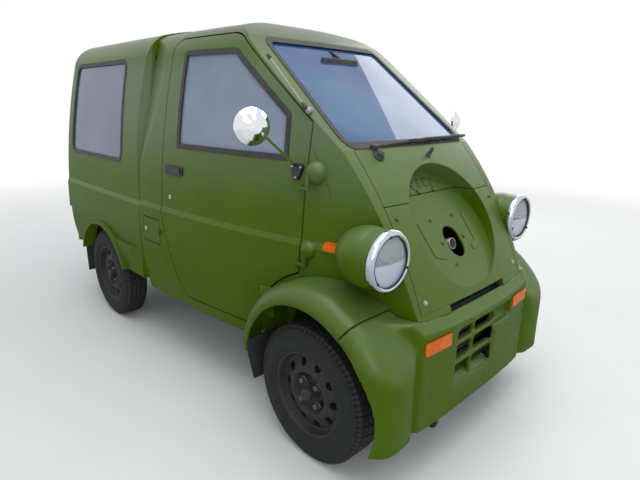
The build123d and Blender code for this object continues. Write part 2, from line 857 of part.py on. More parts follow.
def floor_pan():
    plate_z = rail_high[1] + seat_gap
    lower_y = wheelhouse_rear_y + wall + seat_gap
    lower = block((-700, lower_y, plate_z), (700, deck_front_y + floor_thickness, plate_z + floor_thickness))
    riser = block((-700, deck_front_y, plate_z), (700, deck_front_y + floor_thickness, deck_z))
    deck = block((-700, deck_front_y, deck_z - floor_thickness), (700, cab_rear_y, deck_z))
    narrow = cab_volume(door_wall + 10)
    wide = cab_volume(wall) & block((-900, 75, 0), (900, cab_rear_y, 2000))
    foot = block((-480, deck_front_y, plate_z), (480, deck_front_y + floor_thickness, plate_z + 60))
    front = (lower & cab_volume(wall)) + foot + ((riser + deck) & (narrow + wide))
    back = block((-700, cab_rear_y, deck_z - floor_thickness), (700, 2000, deck_z)) & cargo_volume(wall)
    (low_x, low_y), (high_x, high_y) = load_floor
    rise = block((low_x, low_y, deck_z - 2), (high_x, high_y, deck_z + load_floor_rise))
    return front + back + rise


def rear_axle():
    """Axle tube with its gear ball, propeller shaft and the two leaf springs clamped to it."""
    axle = None
    for reach, radius in ((wheel_plane_x + spindle_end_x, spindle_radius), (450, axle_tube_radius)):
        bar = rod((-reach, rear_axle_y, tyre_radius), (reach, rear_axle_y, tyre_radius), radius)
        axle = bar if axle is None else axle + bar
    axle += Pos(0, rear_axle_y, tyre_radius) * Sphere(88)
    axle += rod((0, 152, 300), (0, rear_axle_y, tyre_radius), 25)
    for side in (-1, 1):
        low_x, high_x = sorted((side * 330, side * 385))
        spring = across(
            make_face([
                ThreePointArc((430, 326), (rear_axle_y, 226), (1240, 326)),
                Line((1240, 326), (1240, 344)),
                ThreePointArc((1240, 344), (rear_axle_y, 246), (430, 344)),
                Line((430, 344), (430, 326)),
            ]),
            low_x,
            high_x,
        )
        for low_y, high_y in ((410, 450), (1220, 1260)):
            inner_x, outer_x = sorted((side * (rail_high[0] + seat_gap), side * 385))
            spring += block((inner_x, low_y, 318), (outer_x, high_y, 368))
        axle += spring
    return axle


def exhaust():
    pipe = rod((130, 150 + seat_gap, 290), (130, 560, 290), 18)
    pipe += rod((130, 555, 290), (130, 760, 345), 18)
    pipe += rod((130, 755, 344), (130, 1000, 344), 18)
    pipe += rod((130, 990, 338), (130, 1300 - seat_gap, 338), 52)
    pipe += rod((95, 1250, 292), (95, 1370, 288), 16)
    return pipe


def seat(side):
    low_x, high_x = side * seat_x - seat_half_width, side * seat_x + seat_half_width
    cushion = block((low_x, -300, deck_z + seat_gap), (high_x, 190, 705))
    back = across(polygon(((110, 690), (225, 640), (268, 1180), (170, 1190))), low_x + 10, high_x - 10)
    rest_face = polygon(((190, 1180), (262, 1175), (275, 1330), (205, 1335)))
    rest = across(rest_face, side * seat_x - 110, side * seat_x + 110)
    return cushion + back + rest


def dashboard():
    """Dashboard with the steering column, which ends just short of the wheel's hub."""
    x, y, z = steering_centre
    column = rod((x, y - 230, z - 230), (x, y - 16.5, z - 16.5), 24)
    return (block((-405, -1000, 850), (405, -760, 1115)) & cab_volume(wall)) + column


def steering_wheel():
    place = Pos(*steering_centre) * Rot(-45, 0, 0)
    rim_cut = Pos(steering_radius, 0, 0) * (Plane.XZ * RegularPolygon(12, 8))
    ring = revolve(rim_cut, Axis.Z, 360)
    hub = Pos(0, 0, -8) * Cylinder(32, 30)
    spokes = Box(2 * steering_radius, 24, 8)
    spokes += Pos(0, -steering_radius / 2, 0) * Box(24, steering_radius, 8)
    return place * (ring + hub + spokes)


def headlamps():
    pod = revolve(
        make_face([
            ThreePointArc((pod_radius, -1215), (pod_radius * 0.78, -1105), (0, pod_tip_y)),
            Polyline((0, pod_tip_y), (0, lamp_front_y), (pod_radius, lamp_front_y), (pod_radius, -1215)),
        ]),
        Axis.Y,
        360,
    )
    base_y = lamp_front_y - seat_gap
    ring = revolve(
        make_face([
            Polyline((lens_radius + seat_gap, base_y), (ring_radius, base_y), (ring_radius, base_y - 8)),
            ThreePointArc((ring_radius, base_y - 8), (ring_radius - 6, base_y - 18), (lens_radius + 6, base_y - 22)),
            Polyline((lens_radius + 6, base_y - 22), (lens_radius + seat_gap, base_y - 18), (lens_radius + seat_gap, base_y)),
        ]),
        Axis.Y,
        360,
    )
    cap_radius = (lens_radius**2 + lens_bulge**2) / (2 * lens_bulge)
    lens = rod((0, base_y, 0), (0, base_y - 12 - lens_bulge, 0), lens_radius)
    lens &= Pos(0, base_y - 12 - lens_bulge + cap_radius, 0) * Sphere(cap_radius)
    pieces = []
    for piece in (pod, ring, lens):
        pieces.append(Pos(lamp_x, 0, lamp_z) * piece - cab_volume(-seat_gap))
    return pieces


def wiper():
    arm = rod((-266, -1006, 1175), (80, -1014, 1194), 6) + rod((75, -1014, 1194), (413, -994, 1194), 6)
    pivot = rod((-266, -1000, 1138), (-266, -1016, 1180), 14)
    return arm + pivot - cab_volume(-seal_proud - seat_gap)


def antenna():
    mast = rod((-443, -613, 1503), (-449, -841, 1306), 3)
    foot = Pos(-441, -843, 1303) * Sphere(15) - cab_volume(-seat_gap)
    return mast + foot


cowl_solid, lid_solid = front_panels()
flap_face = rounded(flap_rows)
flap_opening = rounded(grown(flap_rows, panel_gap + 1))
tail_lamp_face = rounded(tail_lamp_rows)
tail_cut = both(along(tail_lamp_face, 1300, rear_y + 100))

cab = cab_shell()
cab -= ring_layer(cab_volume, -1, flap_pocket) & across(flap_opening, -760, -400)
cab += rod((-609 + flap_pocket + 1, 160, 689), (-609 + flap_pocket - 16, 160, 689), 28)
hinge_x, hinge_y, hinge_z = flap_hinge
cab += rod((hinge_x, hinge_y, hinge_z + joint_gap), (hinge_x, hinge_y, hinge_z + 14), flap_hinge_radius)
cab += block((hinge_x, hinge_y - 3, hinge_z + joint_gap), (-606, hinge_y, hinge_z + 14))
cargo = cargo_shell()
for piece in tail_cut:
    cargo -= piece & ring_layer(cargo_volume, -1, 20)
keep("cab_shell", cab)
keep("cowl_panel", cowl_solid)
keep("front_lid", lid_solid)
keep("cargo_shell", cargo)
flap = ring_layer(cab_volume, 0, flap_skin) & across(flap_face, -760, -400)
flap += rod((hinge_x, hinge_y, hinge_z - 14), (hinge_x, hinge_y, hinge_z), flap_hinge_radius)
flap += block((hinge_x - 3, hinge_y, hinge_z - 14), (hinge_x, hinge_y + 14, hinge_z))
flap += block((hinge_x, hinge_y + 9, hinge_z - 14), (-607, hinge_y + 14, hinge_z))
keep("fuel_flap", flap)

# Fixed glass and its seals
screen_ring = along(screen_face, -1150, -300) - along(screen_glass_face, -1150, -300)
cargo_ring = across(cargo_window_face, -900, 900) - across(cargo_glass_face, -900, 900)
seals = [ring_layer(cab_volume, -seal_proud, seal_depth) & screen_ring]
seals += (ring_layer(cargo_volume, -seal_proud, seal_depth) & cargo_ring).solids()
keep("window_seals", Compound(seals))
glass = [
    ring_layer(cab_volume, glass_inset, glass_inset + glass_thickness)
    & along(screen_glass_face, -1150, -300)
]
glass += (
    ring_layer(cargo_volume, glass_inset, glass_inset + glass_thickness)
    & across(cargo_glass_face, -900, 900)
).solids()
keep("fixed_glass", Compound(glass))

# Doors
door_slab = (cab_volume(0) - cab_volume(door_wall)) & driver_side(door_face)
door_slab &= block((-760, -1000, 0), (-door_inner_reach, 200, 2000))
door_slab -= driver_side(window_face)
for height in hinge_joint_heights:
    x, y, z = hinge_point(height - hinge_eye_height)
    door_slab += rod((x, y, z), hinge_point(height), hinge_radius)
    strap = ((x - 6, y), (x + 3, y), (x + 3, -857), (x + 32, -852), (x + 32, -838), (x - 6, -846))
    door_slab += upward(polygon(strap), z + 1, height - 1)
door_ring = driver_side(window_face) - driver_side(window_glass_face)
door_seal = ring_layer(cab_volume, -seal_proud, seal_depth) & door_ring
door_glass = ring_layer(cab_volume, glass_inset, glass_inset + glass_thickness) & driver_side(
    window_glass_face
)
handle_face = rounded(((20, 1037, 10), (-127, 1037, 18), (-136, 993, 18), (13, 993, 10)))
door_handle = ring_layer(cab_volume, -8, 0) & across(handle_face, -760, -500)



def mirror_bowl(turn):
    """A round mirror's bowl with its flat glass behind, centred on the glass and turned about the vertical."""
    return Rot(0, 0, turn) * Rot(90, 0, 0) * revolve(Plane.XZ * polygon(mirror_rows), Axis.Z, 360)


def door_mirror(turn):
    """A door mirror on the driver's side: teardrop foot, bent stalk and bowl that reaches mirror_reach."""
    base_face = rounded(((-790, 1112, 14), (-855, 1112, 14), (-822, 1028, 12)))
    base = (cab_volume(-14) - cab_volume(-seat_gap)) & across(base_face, -760, -400)
    bowl = mirror_bowl(turn)
    head = Vector(-mirror_reach - bowl.bounding_box().min.X, mirror_head_y, mirror_head_z)
    back = math.radians(turn)
    end = head + Vector(math.sin(back), -math.cos(back), 0) * 24
    return base + rod(mirror_foot, end, 5) + Pos(head) * bowl


mirrors = [door_mirror(turn) for turn in mirror_turns]
mirrors[1] = mirror(mirrors[1], about=Plane.YZ)
for side, name in ((0, "right"), (1, "left")):
    keep("door_" + name, both(door_slab)[side])
    keep("door_glass_" + name, both(door_glass)[side])
    keep("door_trim_" + name, Compound([both(door_seal)[side], both(door_handle)[side]]))
    keep("door_mirror_" + name, mirrors[side])

# Tailgate
gate_slab = (cargo_volume(0) - cargo_volume(gate_wall)) & along(gate_face, 1200, rear_y + 100)
gate_slab -= along(gate_window_face, 1200, rear_y + 100)
gate_glass = ring_layer(cargo_volume, glass_inset, glass_inset + glass_thickness) & along(
    gate_glass_face, 1200, rear_y + 100
)
gate_ring = along(gate_window_face, 1200, rear_y + 100) - along(gate_glass_face, 1200, rear_y + 100)
gate_seal = ring_layer(cargo_volume, -seal_proud, seal_depth) & gate_ring
for x in gate_hinge_x:
    eye = rod((x - 30, gate_hinge_y, gate_hinge_z), (x, gate_hinge_y, gate_hinge_z), gate_barrel_radius)
    strap = block((x - 30, gate_hinge_y - 6, gate_top_z - 30), (x, gate_hinge_y + 6, gate_hinge_z))
    root = block((x - 30, 1310, gate_top_z - 30), (x, gate_hinge_y, gate_top_z - 8))
    gate_slab += eye + strap + root
keep("tailgate", gate_slab)
keep("tailgate_glass", gate_glass)
keep("tailgate_seal", gate_seal)

# Front end
driver_fender = front_fender()
keep("front_bumper", front_bumper())
keep("front_fenders", Compound(both(driver_fender)))
indicator_layer = Pos(0, -indicator_proud, 0) * bumper_volume(0) - bumper_volume(bumper_skin)
indicator = indicator_layer & along(rounded(indicator_rows), front_y - 100, -1300)
marker = ring_layer(cab_volume, -9, 0) & across(rounded(marker_rows), -760, -300)
keep("indicators", Compound(both(indicator) + both(marker)))
pod_solid, ring_solid, lens_solid = headlamps()
keep("headlamp_pods", Compound(both(pod_solid)))
keep("headlamp_rings", Compound(both(ring_solid)))
keep("headlamp_lenses", Compound(both(lens_solid)))
keep("wiper", wiper())
keep("antenna", antenna())

# Rear end
keep("tail_lamps", Compound([piece & ring_layer(cargo_volume, -4, 20) for piece in tail_cut]))
rear_bumper = upward(
    make_face([
        Line((600, cargo_tail_y + seat_gap), (-600, cargo_tail_y + seat_gap)),
        ThreePointArc((-600, cargo_tail_y + seat_gap), (-588, rear_y - 17), (-560, rear_y)),
        Line((-560, rear_y), (560, rear_y)),
        ThreePointArc((560, rear_y), (588, rear_y - 17), (600, cargo_tail_y + seat_gap)),
    ]),
    380,
    bumper_top_z - seat_gap,
)
keep("rear_bumper", rear_bumper)
mudflap_face = polygon(((-612, 205), (-642, 340), (-642, 400), (-478, 400), (-478, 205)))
flaps = both(along(mudflap_face, -697, -692) - driver_fender)
flaps += both(block((-615, 1175, 205), (-478, 1180, skirt_bottom_z - seat_gap)))
keep("mudflaps", Compound(flaps))

# Underbody
keep("chassis_frame", chassis())
keep("floor_pan", floor_pan())
keep("front_suspension", front_suspension())
keep("rear_axle", rear_axle())
engine = block((-190, -250, 215), (190, 150, 560))
for side in (-1, 1):
    low_x, high_x = sorted((side * 180, side * (rail_low[0] - seat_gap)))
    engine += block((low_x, -80, 310), (high_x, -20, 360))
keep("engine_block", engine)
keep("fuel_tank", block((-535, 290, 345), (-rail_high[0] - seat_gap, 402, 560)))
keep("exhaust", exhaust())

# Cabin
keep("dashboard", dashboard())
keep("seats", Compound([seat(-1), seat(1)]))
keep("steering_wheel", steering_wheel())

# Wheels and knuckles
left_tyre, left_rim = wheel()
for side, name in ((-1, "right"), (1, "left")):
    for axle_y, end in ((front_axle_y, "front"), (rear_axle_y, "rear")):
        for piece, label in ((left_tyre, "tyre"), (left_rim, "rim")):
            turned = piece if side > 0 else mirror(piece, about=Plane.YZ)
            keep(f"{label}_{end}_{name}", Pos(side * wheel_plane_x, axle_y, tyre_radius) * turned)
    keep("knuckle_" + name, both(knuckle())[0 if side > 0 else 1])

os.makedirs("parts", exist_ok=True)
for node, shape in shapes.items():
    export_step(shape, os.path.join("parts", node + ".step"))
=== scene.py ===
import math

import bpy
from mathutils import Matrix, Vector


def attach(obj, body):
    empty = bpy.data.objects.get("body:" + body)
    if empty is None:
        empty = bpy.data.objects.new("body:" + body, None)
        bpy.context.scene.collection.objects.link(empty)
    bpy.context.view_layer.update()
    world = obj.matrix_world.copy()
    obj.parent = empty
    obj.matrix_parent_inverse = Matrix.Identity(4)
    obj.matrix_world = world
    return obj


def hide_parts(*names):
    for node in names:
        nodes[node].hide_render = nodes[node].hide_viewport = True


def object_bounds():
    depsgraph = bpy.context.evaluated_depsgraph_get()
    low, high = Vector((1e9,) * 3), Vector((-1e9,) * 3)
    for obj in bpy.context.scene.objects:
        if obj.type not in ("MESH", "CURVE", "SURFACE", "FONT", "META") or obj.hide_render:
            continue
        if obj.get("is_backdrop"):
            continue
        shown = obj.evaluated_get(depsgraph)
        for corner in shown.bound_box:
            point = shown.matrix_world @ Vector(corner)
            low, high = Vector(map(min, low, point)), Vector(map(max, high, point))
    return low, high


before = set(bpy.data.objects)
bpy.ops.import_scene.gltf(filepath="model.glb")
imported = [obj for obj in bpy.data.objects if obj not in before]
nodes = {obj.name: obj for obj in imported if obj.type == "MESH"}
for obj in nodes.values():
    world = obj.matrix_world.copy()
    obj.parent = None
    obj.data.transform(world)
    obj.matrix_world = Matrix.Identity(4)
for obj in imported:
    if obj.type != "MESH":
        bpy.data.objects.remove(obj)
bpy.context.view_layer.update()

# Ways and sides: the nose looks towards minus y, and the right side is at minus x
forwards, rearwards = (0, -1, 0), (0, 1, 0)
rightwards, leftwards = (-1, 0, 0), (1, 0, 0)
downwards, upwards = (0, 0, -1), (0, 0, 1)
sides = ((-1, "right"), (1, "left"))

# Places that several pieces share, in metres and degrees
wheel_plane_x = 0.541
axle_z = 0.271
front_axle_y, rear_axle_y = -1.007, 0.833
wheels = (
    # node ending, side, y of the axle
    ("front_right", -1, front_axle_y),
    ("front_left", 1, front_axle_y),
    ("rear_right", -1, rear_axle_y),
    ("rear_left", 1, rear_axle_y),
)
mirror_y, mirror_z = -0.791, 1.249
mirror_x = {"right": 0.6582, "left": 0.6645}
mirror_turns = {"right": 16.0, "left": 28.0}


# Shader maths
class Value:
    """A socket of a finish. Arithmetic on it adds the math nodes."""

    def __init__(self, finish, socket):
        self.finish = finish
        self.socket = socket

    def math(self, operation, *terms):
        return self.finish.node("Math", {"operation": operation}, dict(enumerate(terms)))

    def __add__(self, other):
        return self.math("ADD", self, other)

    __radd__ = __add__

    def __sub__(self, other):
        return self.math("SUBTRACT", self, other)

    def __rsub__(self, other):
        return self.math("SUBTRACT", other, self)

    def __mul__(self, other):
        return self.math("MULTIPLY", self, other)

    def __pow__(self, other):
        return self.math("POWER", self, other)

    def sine(self):
        return self.math("SINE", self)

    def size(self):
        return self.math("ABSOLUTE", self)

    def above(self, level):
        return self.math("MAXIMUM", self, level)

    def clear_of(self, low, high):
        """0 below low, 1 above high, and even between them."""
        return self.finish.node(
            "MapRange",
            {"clamp": True},
            {"Value": self, "From Min": low, "From Max": high, "To Min": 0.0, "To Max": 1.0},
        )


def tone(red, green, blue):
    """A colour as the eye reads it, 0 to 255, made linear for a shader."""
    linear = []
    for level in (red, green, blue):
        share = level / 255
        linear.append(share / 12.92 if share <= 0.04045 else ((share + 0.055) / 1.055) ** 2.4)
    return (*linear, 1.0)


class Finish:
    """One surface finish, built round a Principled shader."""

    def __init__(self, name, colour=(0.5, 0.5, 0.5, 1.0), roughness=0.5, **fixed):
        self.material = bpy.data.materials.new(name)
        self.material.use_nodes = True
        self.tree = self.material.node_tree
        self.shader = self.tree.nodes["Principled BSDF"]
        self.feed("Base Color", colour)
        self.feed("Roughness", roughness)
        for socket, level in fixed.items():
            self.feed(socket.replace("_", " ").title().replace("Ior", "IOR"), level)

    def feed(self, socket, value):
        self.place(self.shader.inputs[socket], value)

    def place(self, socket, value):
        if isinstance(value, Value):
            self.tree.links.new(value.socket, socket)
        else:
            socket.default_value = value

    def node(self, kind, settings, inputs, output=0):
        """Adds a node: its settings first, then the values or links of its sockets."""
        made = self.tree.nodes.new("ShaderNode" + kind)
        for name, setting in settings.items():
            if name == "stops":
                ramp = made.color_ramp
                while len(ramp.elements) < len(setting):
                    ramp.elements.new(0.5)
                for element, (place, colour) in zip(ramp.elements, setting):
                    element.position = place
                    element.color = colour
            else:
                setattr(made, name, setting)
        for name, value in inputs.items():
            self.place(made.inputs[name], value)
        return Value(self, made.outputs[output])

    def place_in_object(self):
        return self.node("TexCoord", {}, {}, "Object")

    def axes(self):
        """x, y and z of the point, in metres."""
        parts = self.node("SeparateXYZ", {}, {"Vector": self.place_in_object()})
        outputs = parts.socket.node.outputs
        return [Value(self, outputs[axis]) for axis in "XYZ"]

    def noise(self, scale, detail=3.0, roughness=0.5):
        return self.node(
            "TexNoise",
            {},
            {"Vector": self.place_in_object(), "Scale": scale, "Detail": detail, "Roughness": roughness},
            "Fac",
        )

    def facing(self):
        """How far the surface faces up, from -1 to 1."""
        normal = self.node("NewGeometry", {}, {}, "Normal")
        return self.node("SeparateXYZ", {}, {"Vector": normal}, 2)

    def mix(self, share, first, second):
        colours = {"Factor": share, 6: first, 7: second}
        return self.node("Mix", {"data_type": "RGBA"}, colours, 2)

    def bump(self, height, depth, strength=1.0, edge=0.0):
        """Relief from a height; edge rounds the corners of the mesh by that radius in the shading."""
        inputs = {"Height": height, "Distance": depth, "Strength": strength}
        if edge:
            inputs["Normal"] = self.node("Bevel", {"samples": 6}, {"Radius": edge})
        self.feed("Normal", self.node("Bump", {}, inputs, "Normal"))


# Finishes
def body_paint(name, base, shade, dusty=0.1):
    """Satin brushed-on paint, with the line pressed under the windows and round the top hinges, and a painted
    sky sheen on the upper sides and on the faces that look up.
    """
    paint = Finish(name, roughness=0.42, specular_ior_level=0.06, coat_roughness=0.34)
    x, y, z = paint.axes()
    broad = paint.noise(2.2, 4.0)
    fine = paint.noise(38.0, 5.0, 0.6)
    colour = paint.mix((broad * 0.7 + fine * 0.3).clear_of(0.32, 0.68), base, shade)
    up = paint.facing().clear_of(0.2, 1.0)
    # Painted reflection: the upper sides are mixed towards a pale blue-grey, as the sky's sheen on the satin
    # paint
    upper_side_sheen = z.clear_of(0.92, 1.25) * (1.0 - z.clear_of(1.45, 1.6)) * (1.0 - up)
    roof = z.clear_of(1.5, 1.62) * up
    with_side_sheen = paint.mix(upper_side_sheen * 0.28, colour, tone(132, 142, 142))
    dark_roof = paint.mix(roof * 0.75, with_side_sheen, tone(40, 48, 40))
    # Painted highlight: faces that look up are lightened towards a pale grey-green sky sheen
    with_top_sheen = paint.mix(up * 0.22, dark_roof, tone(108, 126, 98))
    low = (1.0 - z.clear_of(0.15, 0.62)) * fine.clear_of(0.35, 0.75)
    paint.feed("Base Color", paint.mix(low * dusty, with_top_sheen, tone(128, 121, 92)))
    paint.feed("Coat Weight", paint.facing().clear_of(-0.05, 0.5) * 0.6)
    paint.feed("Roughness", 0.36 + fine * 0.14 + low * 0.3)
    # The pressed line turns up round the top hinge, and stops short of the hinge's dome
    corner, lean_y, lean_z = 0.045, -0.849, 0.528
    ahead = ((y + 0.955) * lean_y + (z - 1.045) * lean_z + corner).above(0.0)
    below = (1.026 - z).above(0.0)
    outside = ((ahead * ahead + below * below) ** 0.5 - corner).clear_of(-0.0035, 0.0035)
    from_dome = (((y + 0.903) ** 2 + (z - 1.084) ** 2) ** 0.5).clear_of(0.046, 0.048)
    pressed = outside * (1.0 - z.clear_of(1.13, 1.21)) * (1.0 - y.clear_of(-0.22, -0.13)) * from_dome
    on_sides = x.size().clear_of(0.36, 0.4)
    grain = paint.noise(95.0, 3.0) * 0.6 + paint.noise(420.0, 2.0) * 0.4
    paint.bump(grain + pressed * on_sides * 16.0, 0.0006, 0.5, 0.006)
    return paint.material


def tyre_rubber(name, axle_y):
    """Worn rubber: grooved crown, ribbed shoulder and rings on the side wall."""
    rubber = Finish(name, roughness=0.75, specular_ior_level=0.22)
    x, y, z = rubber.axes()
    dy = y - axle_y
    dz = z - axle_z
    radius = (dy * dy + dz * dz) ** 0.5
    angle = rubber.node("Math", {"operation": "ARCTAN2"}, {0: dz, 1: dy})
    across = x.size() - wheel_plane_x
    crown = radius.clear_of(0.2595, 0.2605)
    sipes = ((angle * 78.0 + (across * 95.0).sine() * 1.2).sine()).clear_of(0.45, 0.6)
    shoulder = radius.clear_of(0.243, 0.247) * (1.0 - radius.clear_of(0.262, 0.264))
    ribs = (angle * 150.0).sine().clear_of(-0.2, 0.2)
    rings = ((radius * 720.0).sine()).clear_of(0.2, 0.8) * (1.0 - radius.clear_of(0.205, 0.209))
    height = crown * sipes * -1.0 + shoulder * ribs * 0.5 + rings * 0.12
    grime = rubber.noise(21.0, 6.0, 0.65)
    dirt = rubber.noise(160.0, 3.0)
    base = rubber.mix(grime.clear_of(0.35, 0.7), tone(26, 28, 29), tone(42, 44, 43))
    dusted = rubber.mix(crown * 0.35 + dirt.clear_of(0.55, 0.8) * 0.25, base, tone(60, 60, 56))
    rubber.feed("Base Color", dusted)
    rubber.feed("Roughness", 0.62 + grime * 0.25)
    rubber.bump(height + dirt * 0.06, 0.0035, 0.9)
    return rubber.material


def black_enamel(name, dusty=0.5):
    """Old black wheel and frame paint with grey dust and a little rust."""
    enamel = Finish(name, roughness=0.45, specular_ior_level=0.35)
    grime = enamel.noise(26.0, 6.0, 0.62)
    speck = enamel.noise(190.0, 4.0, 0.7)
    base = enamel.mix(grime.clear_of(0.4, 0.75) * dusty, tone(24, 25, 27), tone(60, 60, 58))
    rust = enamel.mix(speck.clear_of(0.68, 0.76) * 0.6, base, tone(84, 52, 34))
    enamel.feed("Base Color", rust)
    enamel.feed("Roughness", 0.38 + grime * 0.4)
    enamel.bump(speck, 0.0005, 0.5)
    return enamel.material


def bare_metal(name, colour, roughness, rusty=0.3):
    metal = Finish(name, roughness=roughness, metallic=0.9)
    grime = metal.noise(34.0, 6.0, 0.65)
    speck = metal.noise(240.0, 4.0, 0.7)
    base = metal.mix(grime.clear_of(0.45, 0.8) * rusty, colour, tone(96, 66, 46))
    metal.feed("Base Color", base)
    metal.feed("Metallic", 0.95 - grime.clear_of(0.5, 0.8) * 0.5 * rusty)
    metal.feed("Roughness", roughness + grime * 0.25)
    metal.bump(speck, 0.0006, 0.5)
    return metal.material


def chrome(name):
    plate = Finish(name, tone(226, 229, 232), 0.05, metallic=1.0)
    haze = plate.noise(45.0, 5.0, 0.6)
    # Painted reflection: faces that look up are tinted a pale sky blue, and faces that look down a dark
    # green-grey for the ground they mirror
    below = 1.0 - plate.facing().clear_of(-0.7, 0.35)
    plate.feed("Base Color", plate.mix(below, tone(192, 203, 218), tone(122, 130, 122)))
    plate.feed("Roughness", 0.04 + haze.clear_of(0.5, 0.85) * 0.12)
    plate.bump(plate.noise(240.0, 2.0), 0.0001, 0.3)
    return plate.material


def soft_black(name, colour, roughness=0.6, grain=480.0):
    """Rubber seal or grained plastic."""
    rubber = Finish(name, colour, roughness)
    grime = rubber.noise(30.0, 5.0, 0.6)
    rubber.feed("Base Color", rubber.mix(grime.clear_of(0.45, 0.8) * 0.5, colour, tone(72, 72, 70)))
    rubber.feed("Roughness", roughness - 0.08 + grime * 0.2)
    rubber.bump(rubber.noise(grain, 2.0), 0.0004, 0.5)
    return rubber.material


def window_glass(name, tint, pale, side, cover):
    """A bluish pane that half mirrors the sky, dusty and paler (side) behind the windscreen; its blue is
    partly tint and partly painted sky reflection, with pale patches of painted cloud reflection.
    """
    pane = Finish(name, tint, 0.05, specular_ior_level=0.45, coat_weight=0.2, coat_roughness=0.02)
    cloud_reflection = pane.noise(1.6, 3.0, 0.5)
    dust = pane.noise(14.0, 6.0, 0.7)
    _, y, _ = pane.axes()
    # Painted reflection: pale cloud patches are mixed into the tint, and the glass is made less clear there
    front = pane.mix(cloud_reflection.clear_of(0.4, 0.62), tint, pale)
    pane.feed("Base Color", pane.mix(y.clear_of(0.0, 0.05), front, side))
    pane.feed("Roughness", 0.03 + dust.clear_of(0.55, 0.85) * 0.06)
    pane.feed("Alpha", cover + cloud_reflection.clear_of(0.35, 0.7) * 0.14)
    return pane.material


def lamp_glass(name):
    """Clear pressed glass, its lower half ribbed upright and its upper half plainer and greyer; the lower
    half's bright bluish white is a painted sparkle.
    """
    glass = Finish(name, roughness=0.05, coat_weight=1.0, coat_roughness=0.02)
    x, _, z = glass.axes()
    lower = 1.0 - z.clear_of(0.834, 0.838)
    flute = (x * 620.0).sine().size() * (0.35 + lower * 0.65)
    bands = (z * 210.0).sine().clear_of(0.85, 0.95)
    # Painted highlight: the lower half is coloured a bright bluish white for the sparkle of its ribs
    glass.feed("Base Color", glass.mix(lower, tone(168, 180, 178), tone(222, 230, 246)))
    glass.feed("Alpha", 0.3 + lower * 0.22)
    glass.bump(flute + bands * 0.5, 0.0022, 0.8)
    return glass.material


def coloured_lens(name, colour, deep):
    lens = Finish(name, colour, 0.25, specular_ior_level=0.12, coat_weight=0.06, coat_roughness=0.05)
    x, y, z = lens.axes()
    prism = (x * 700.0 + y * 700.0).sine() * (z * 700.0).sine()
    lens.feed("Base Color", lens.mix(lens.noise(30.0, 3.0).clear_of(0.3, 0.75), colour, deep))
    lens.bump(prism, 0.0008, 0.5)
    return lens.material


def mirror_finish(name, paint_base, head_x, turn):
    """One door mirror: black foot, painted stalk and plated bowl, told apart by place."""
    finish = Finish(name, roughness=0.4)
    x, y, z = finish.axes()
    dx = x.size() - head_x
    dy = y - mirror_y
    dz = z - mirror_z
    sine, cosine = math.sin(math.radians(turn)), math.cos(math.radians(turn))
    ahead = dx * sine - dy * cosine
    out = dx * cosine + dy * sine
    ring = out * out + dz * dz
    skin = ahead + ring * 7.2
    plated = (1.0 - skin.clear_of(0.0325, 0.033)) * (1.0 - ring.clear_of(0.0047, 0.0048))
    foot = 1.0 - (z + x.size() * 0.35).clear_of(1.288, 1.29)
    grain = finish.noise(60.0, 4.0)
    painted = finish.mix(foot, paint_base, tone(26, 27, 29))
    finish.feed("Base Color", finish.mix(plated, painted, tone(228, 231, 234)))
    finish.feed("Metallic", plated)
    finish.feed("Roughness", 0.42 - plated * 0.36 + grain * 0.05)
    finish.bump(grain, 0.0003, 0.3)
    return finish.material


def seat_cloth(name):
    cloth = Finish(name, roughness=0.9, sheen_weight=0.4, sheen_roughness=0.5)
    x, y, z = cloth.axes()
    weave = (x * 1900.0).sine() * (y * 1900.0 + z * 1900.0).sine()
    patch = cloth.noise(9.0, 4.0)
    cloth.feed("Base Color", cloth.mix(patch, tone(62, 63, 66), tone(88, 88, 90)))
    cloth.bump(weave, 0.0012, 0.7)
    return cloth.material


olive = tone(70, 96, 2)
olive_shade = tone(61, 86, 0)
paint = body_paint("olive_body_paint", olive, olive_shade)
under_paint = body_paint("floor_paint", tone(62, 72, 40), tone(52, 60, 36), 0.7)
enamel = black_enamel("black_enamel")
frame_black = black_enamel("frame_black", 0.8)
steel = bare_metal("dull_steel", tone(140, 138, 134), 0.42)
cast = bare_metal("cast_iron", tone(92, 92, 92), 0.6, 0.7)
plated = chrome("chrome_plate")
rusty_steel = bare_metal("rusty_nut_steel", tone(112, 96, 84), 0.5, 1.0)
bright_steel = bare_metal("zinc_plated_steel", tone(176, 176, 172), 0.32, 0.15)
radiator_black = black_enamel("radiator_black", 0.3)
mirror_metal = chrome("silvered_glass")
seal_black = soft_black("window_seal_rubber", tone(28, 28, 30), 0.55, 900.0)
grained_black = soft_black("grained_black_plastic", tone(38, 38, 41), 0.6)
cabin_grey = soft_black("cabin_plastic", tone(66, 67, 70), 0.62)
pane = window_glass("window_glass", tone(46, 80, 130), tone(72, 106, 142), tone(100, 113, 136), 0.78)
side_tints = tone(124, 142, 166), tone(140, 154, 174), tone(112, 122, 142)
side_pane = window_glass("side_window_glass", *side_tints, 0.58)
lamp = lamp_glass("headlamp_glass")
amber = coloured_lens("amber_lens", tone(212, 104, 0), tone(190, 78, 0))
red = coloured_lens("red_lens", tone(142, 12, 10), tone(104, 8, 8))
mirror_coat_right = mirror_finish("mirror_plating_right", olive, mirror_x["right"], mirror_turns["right"])
mirror_coat_left = mirror_finish("mirror_plating_left", olive, mirror_x["left"], mirror_turns["left"])
cloth = seat_cloth("seat_cloth")
front_rubber = tyre_rubber("front_tyre_rubber", front_axle_y)
rear_rubber = tyre_rubber("rear_tyre_rubber", rear_axle_y)

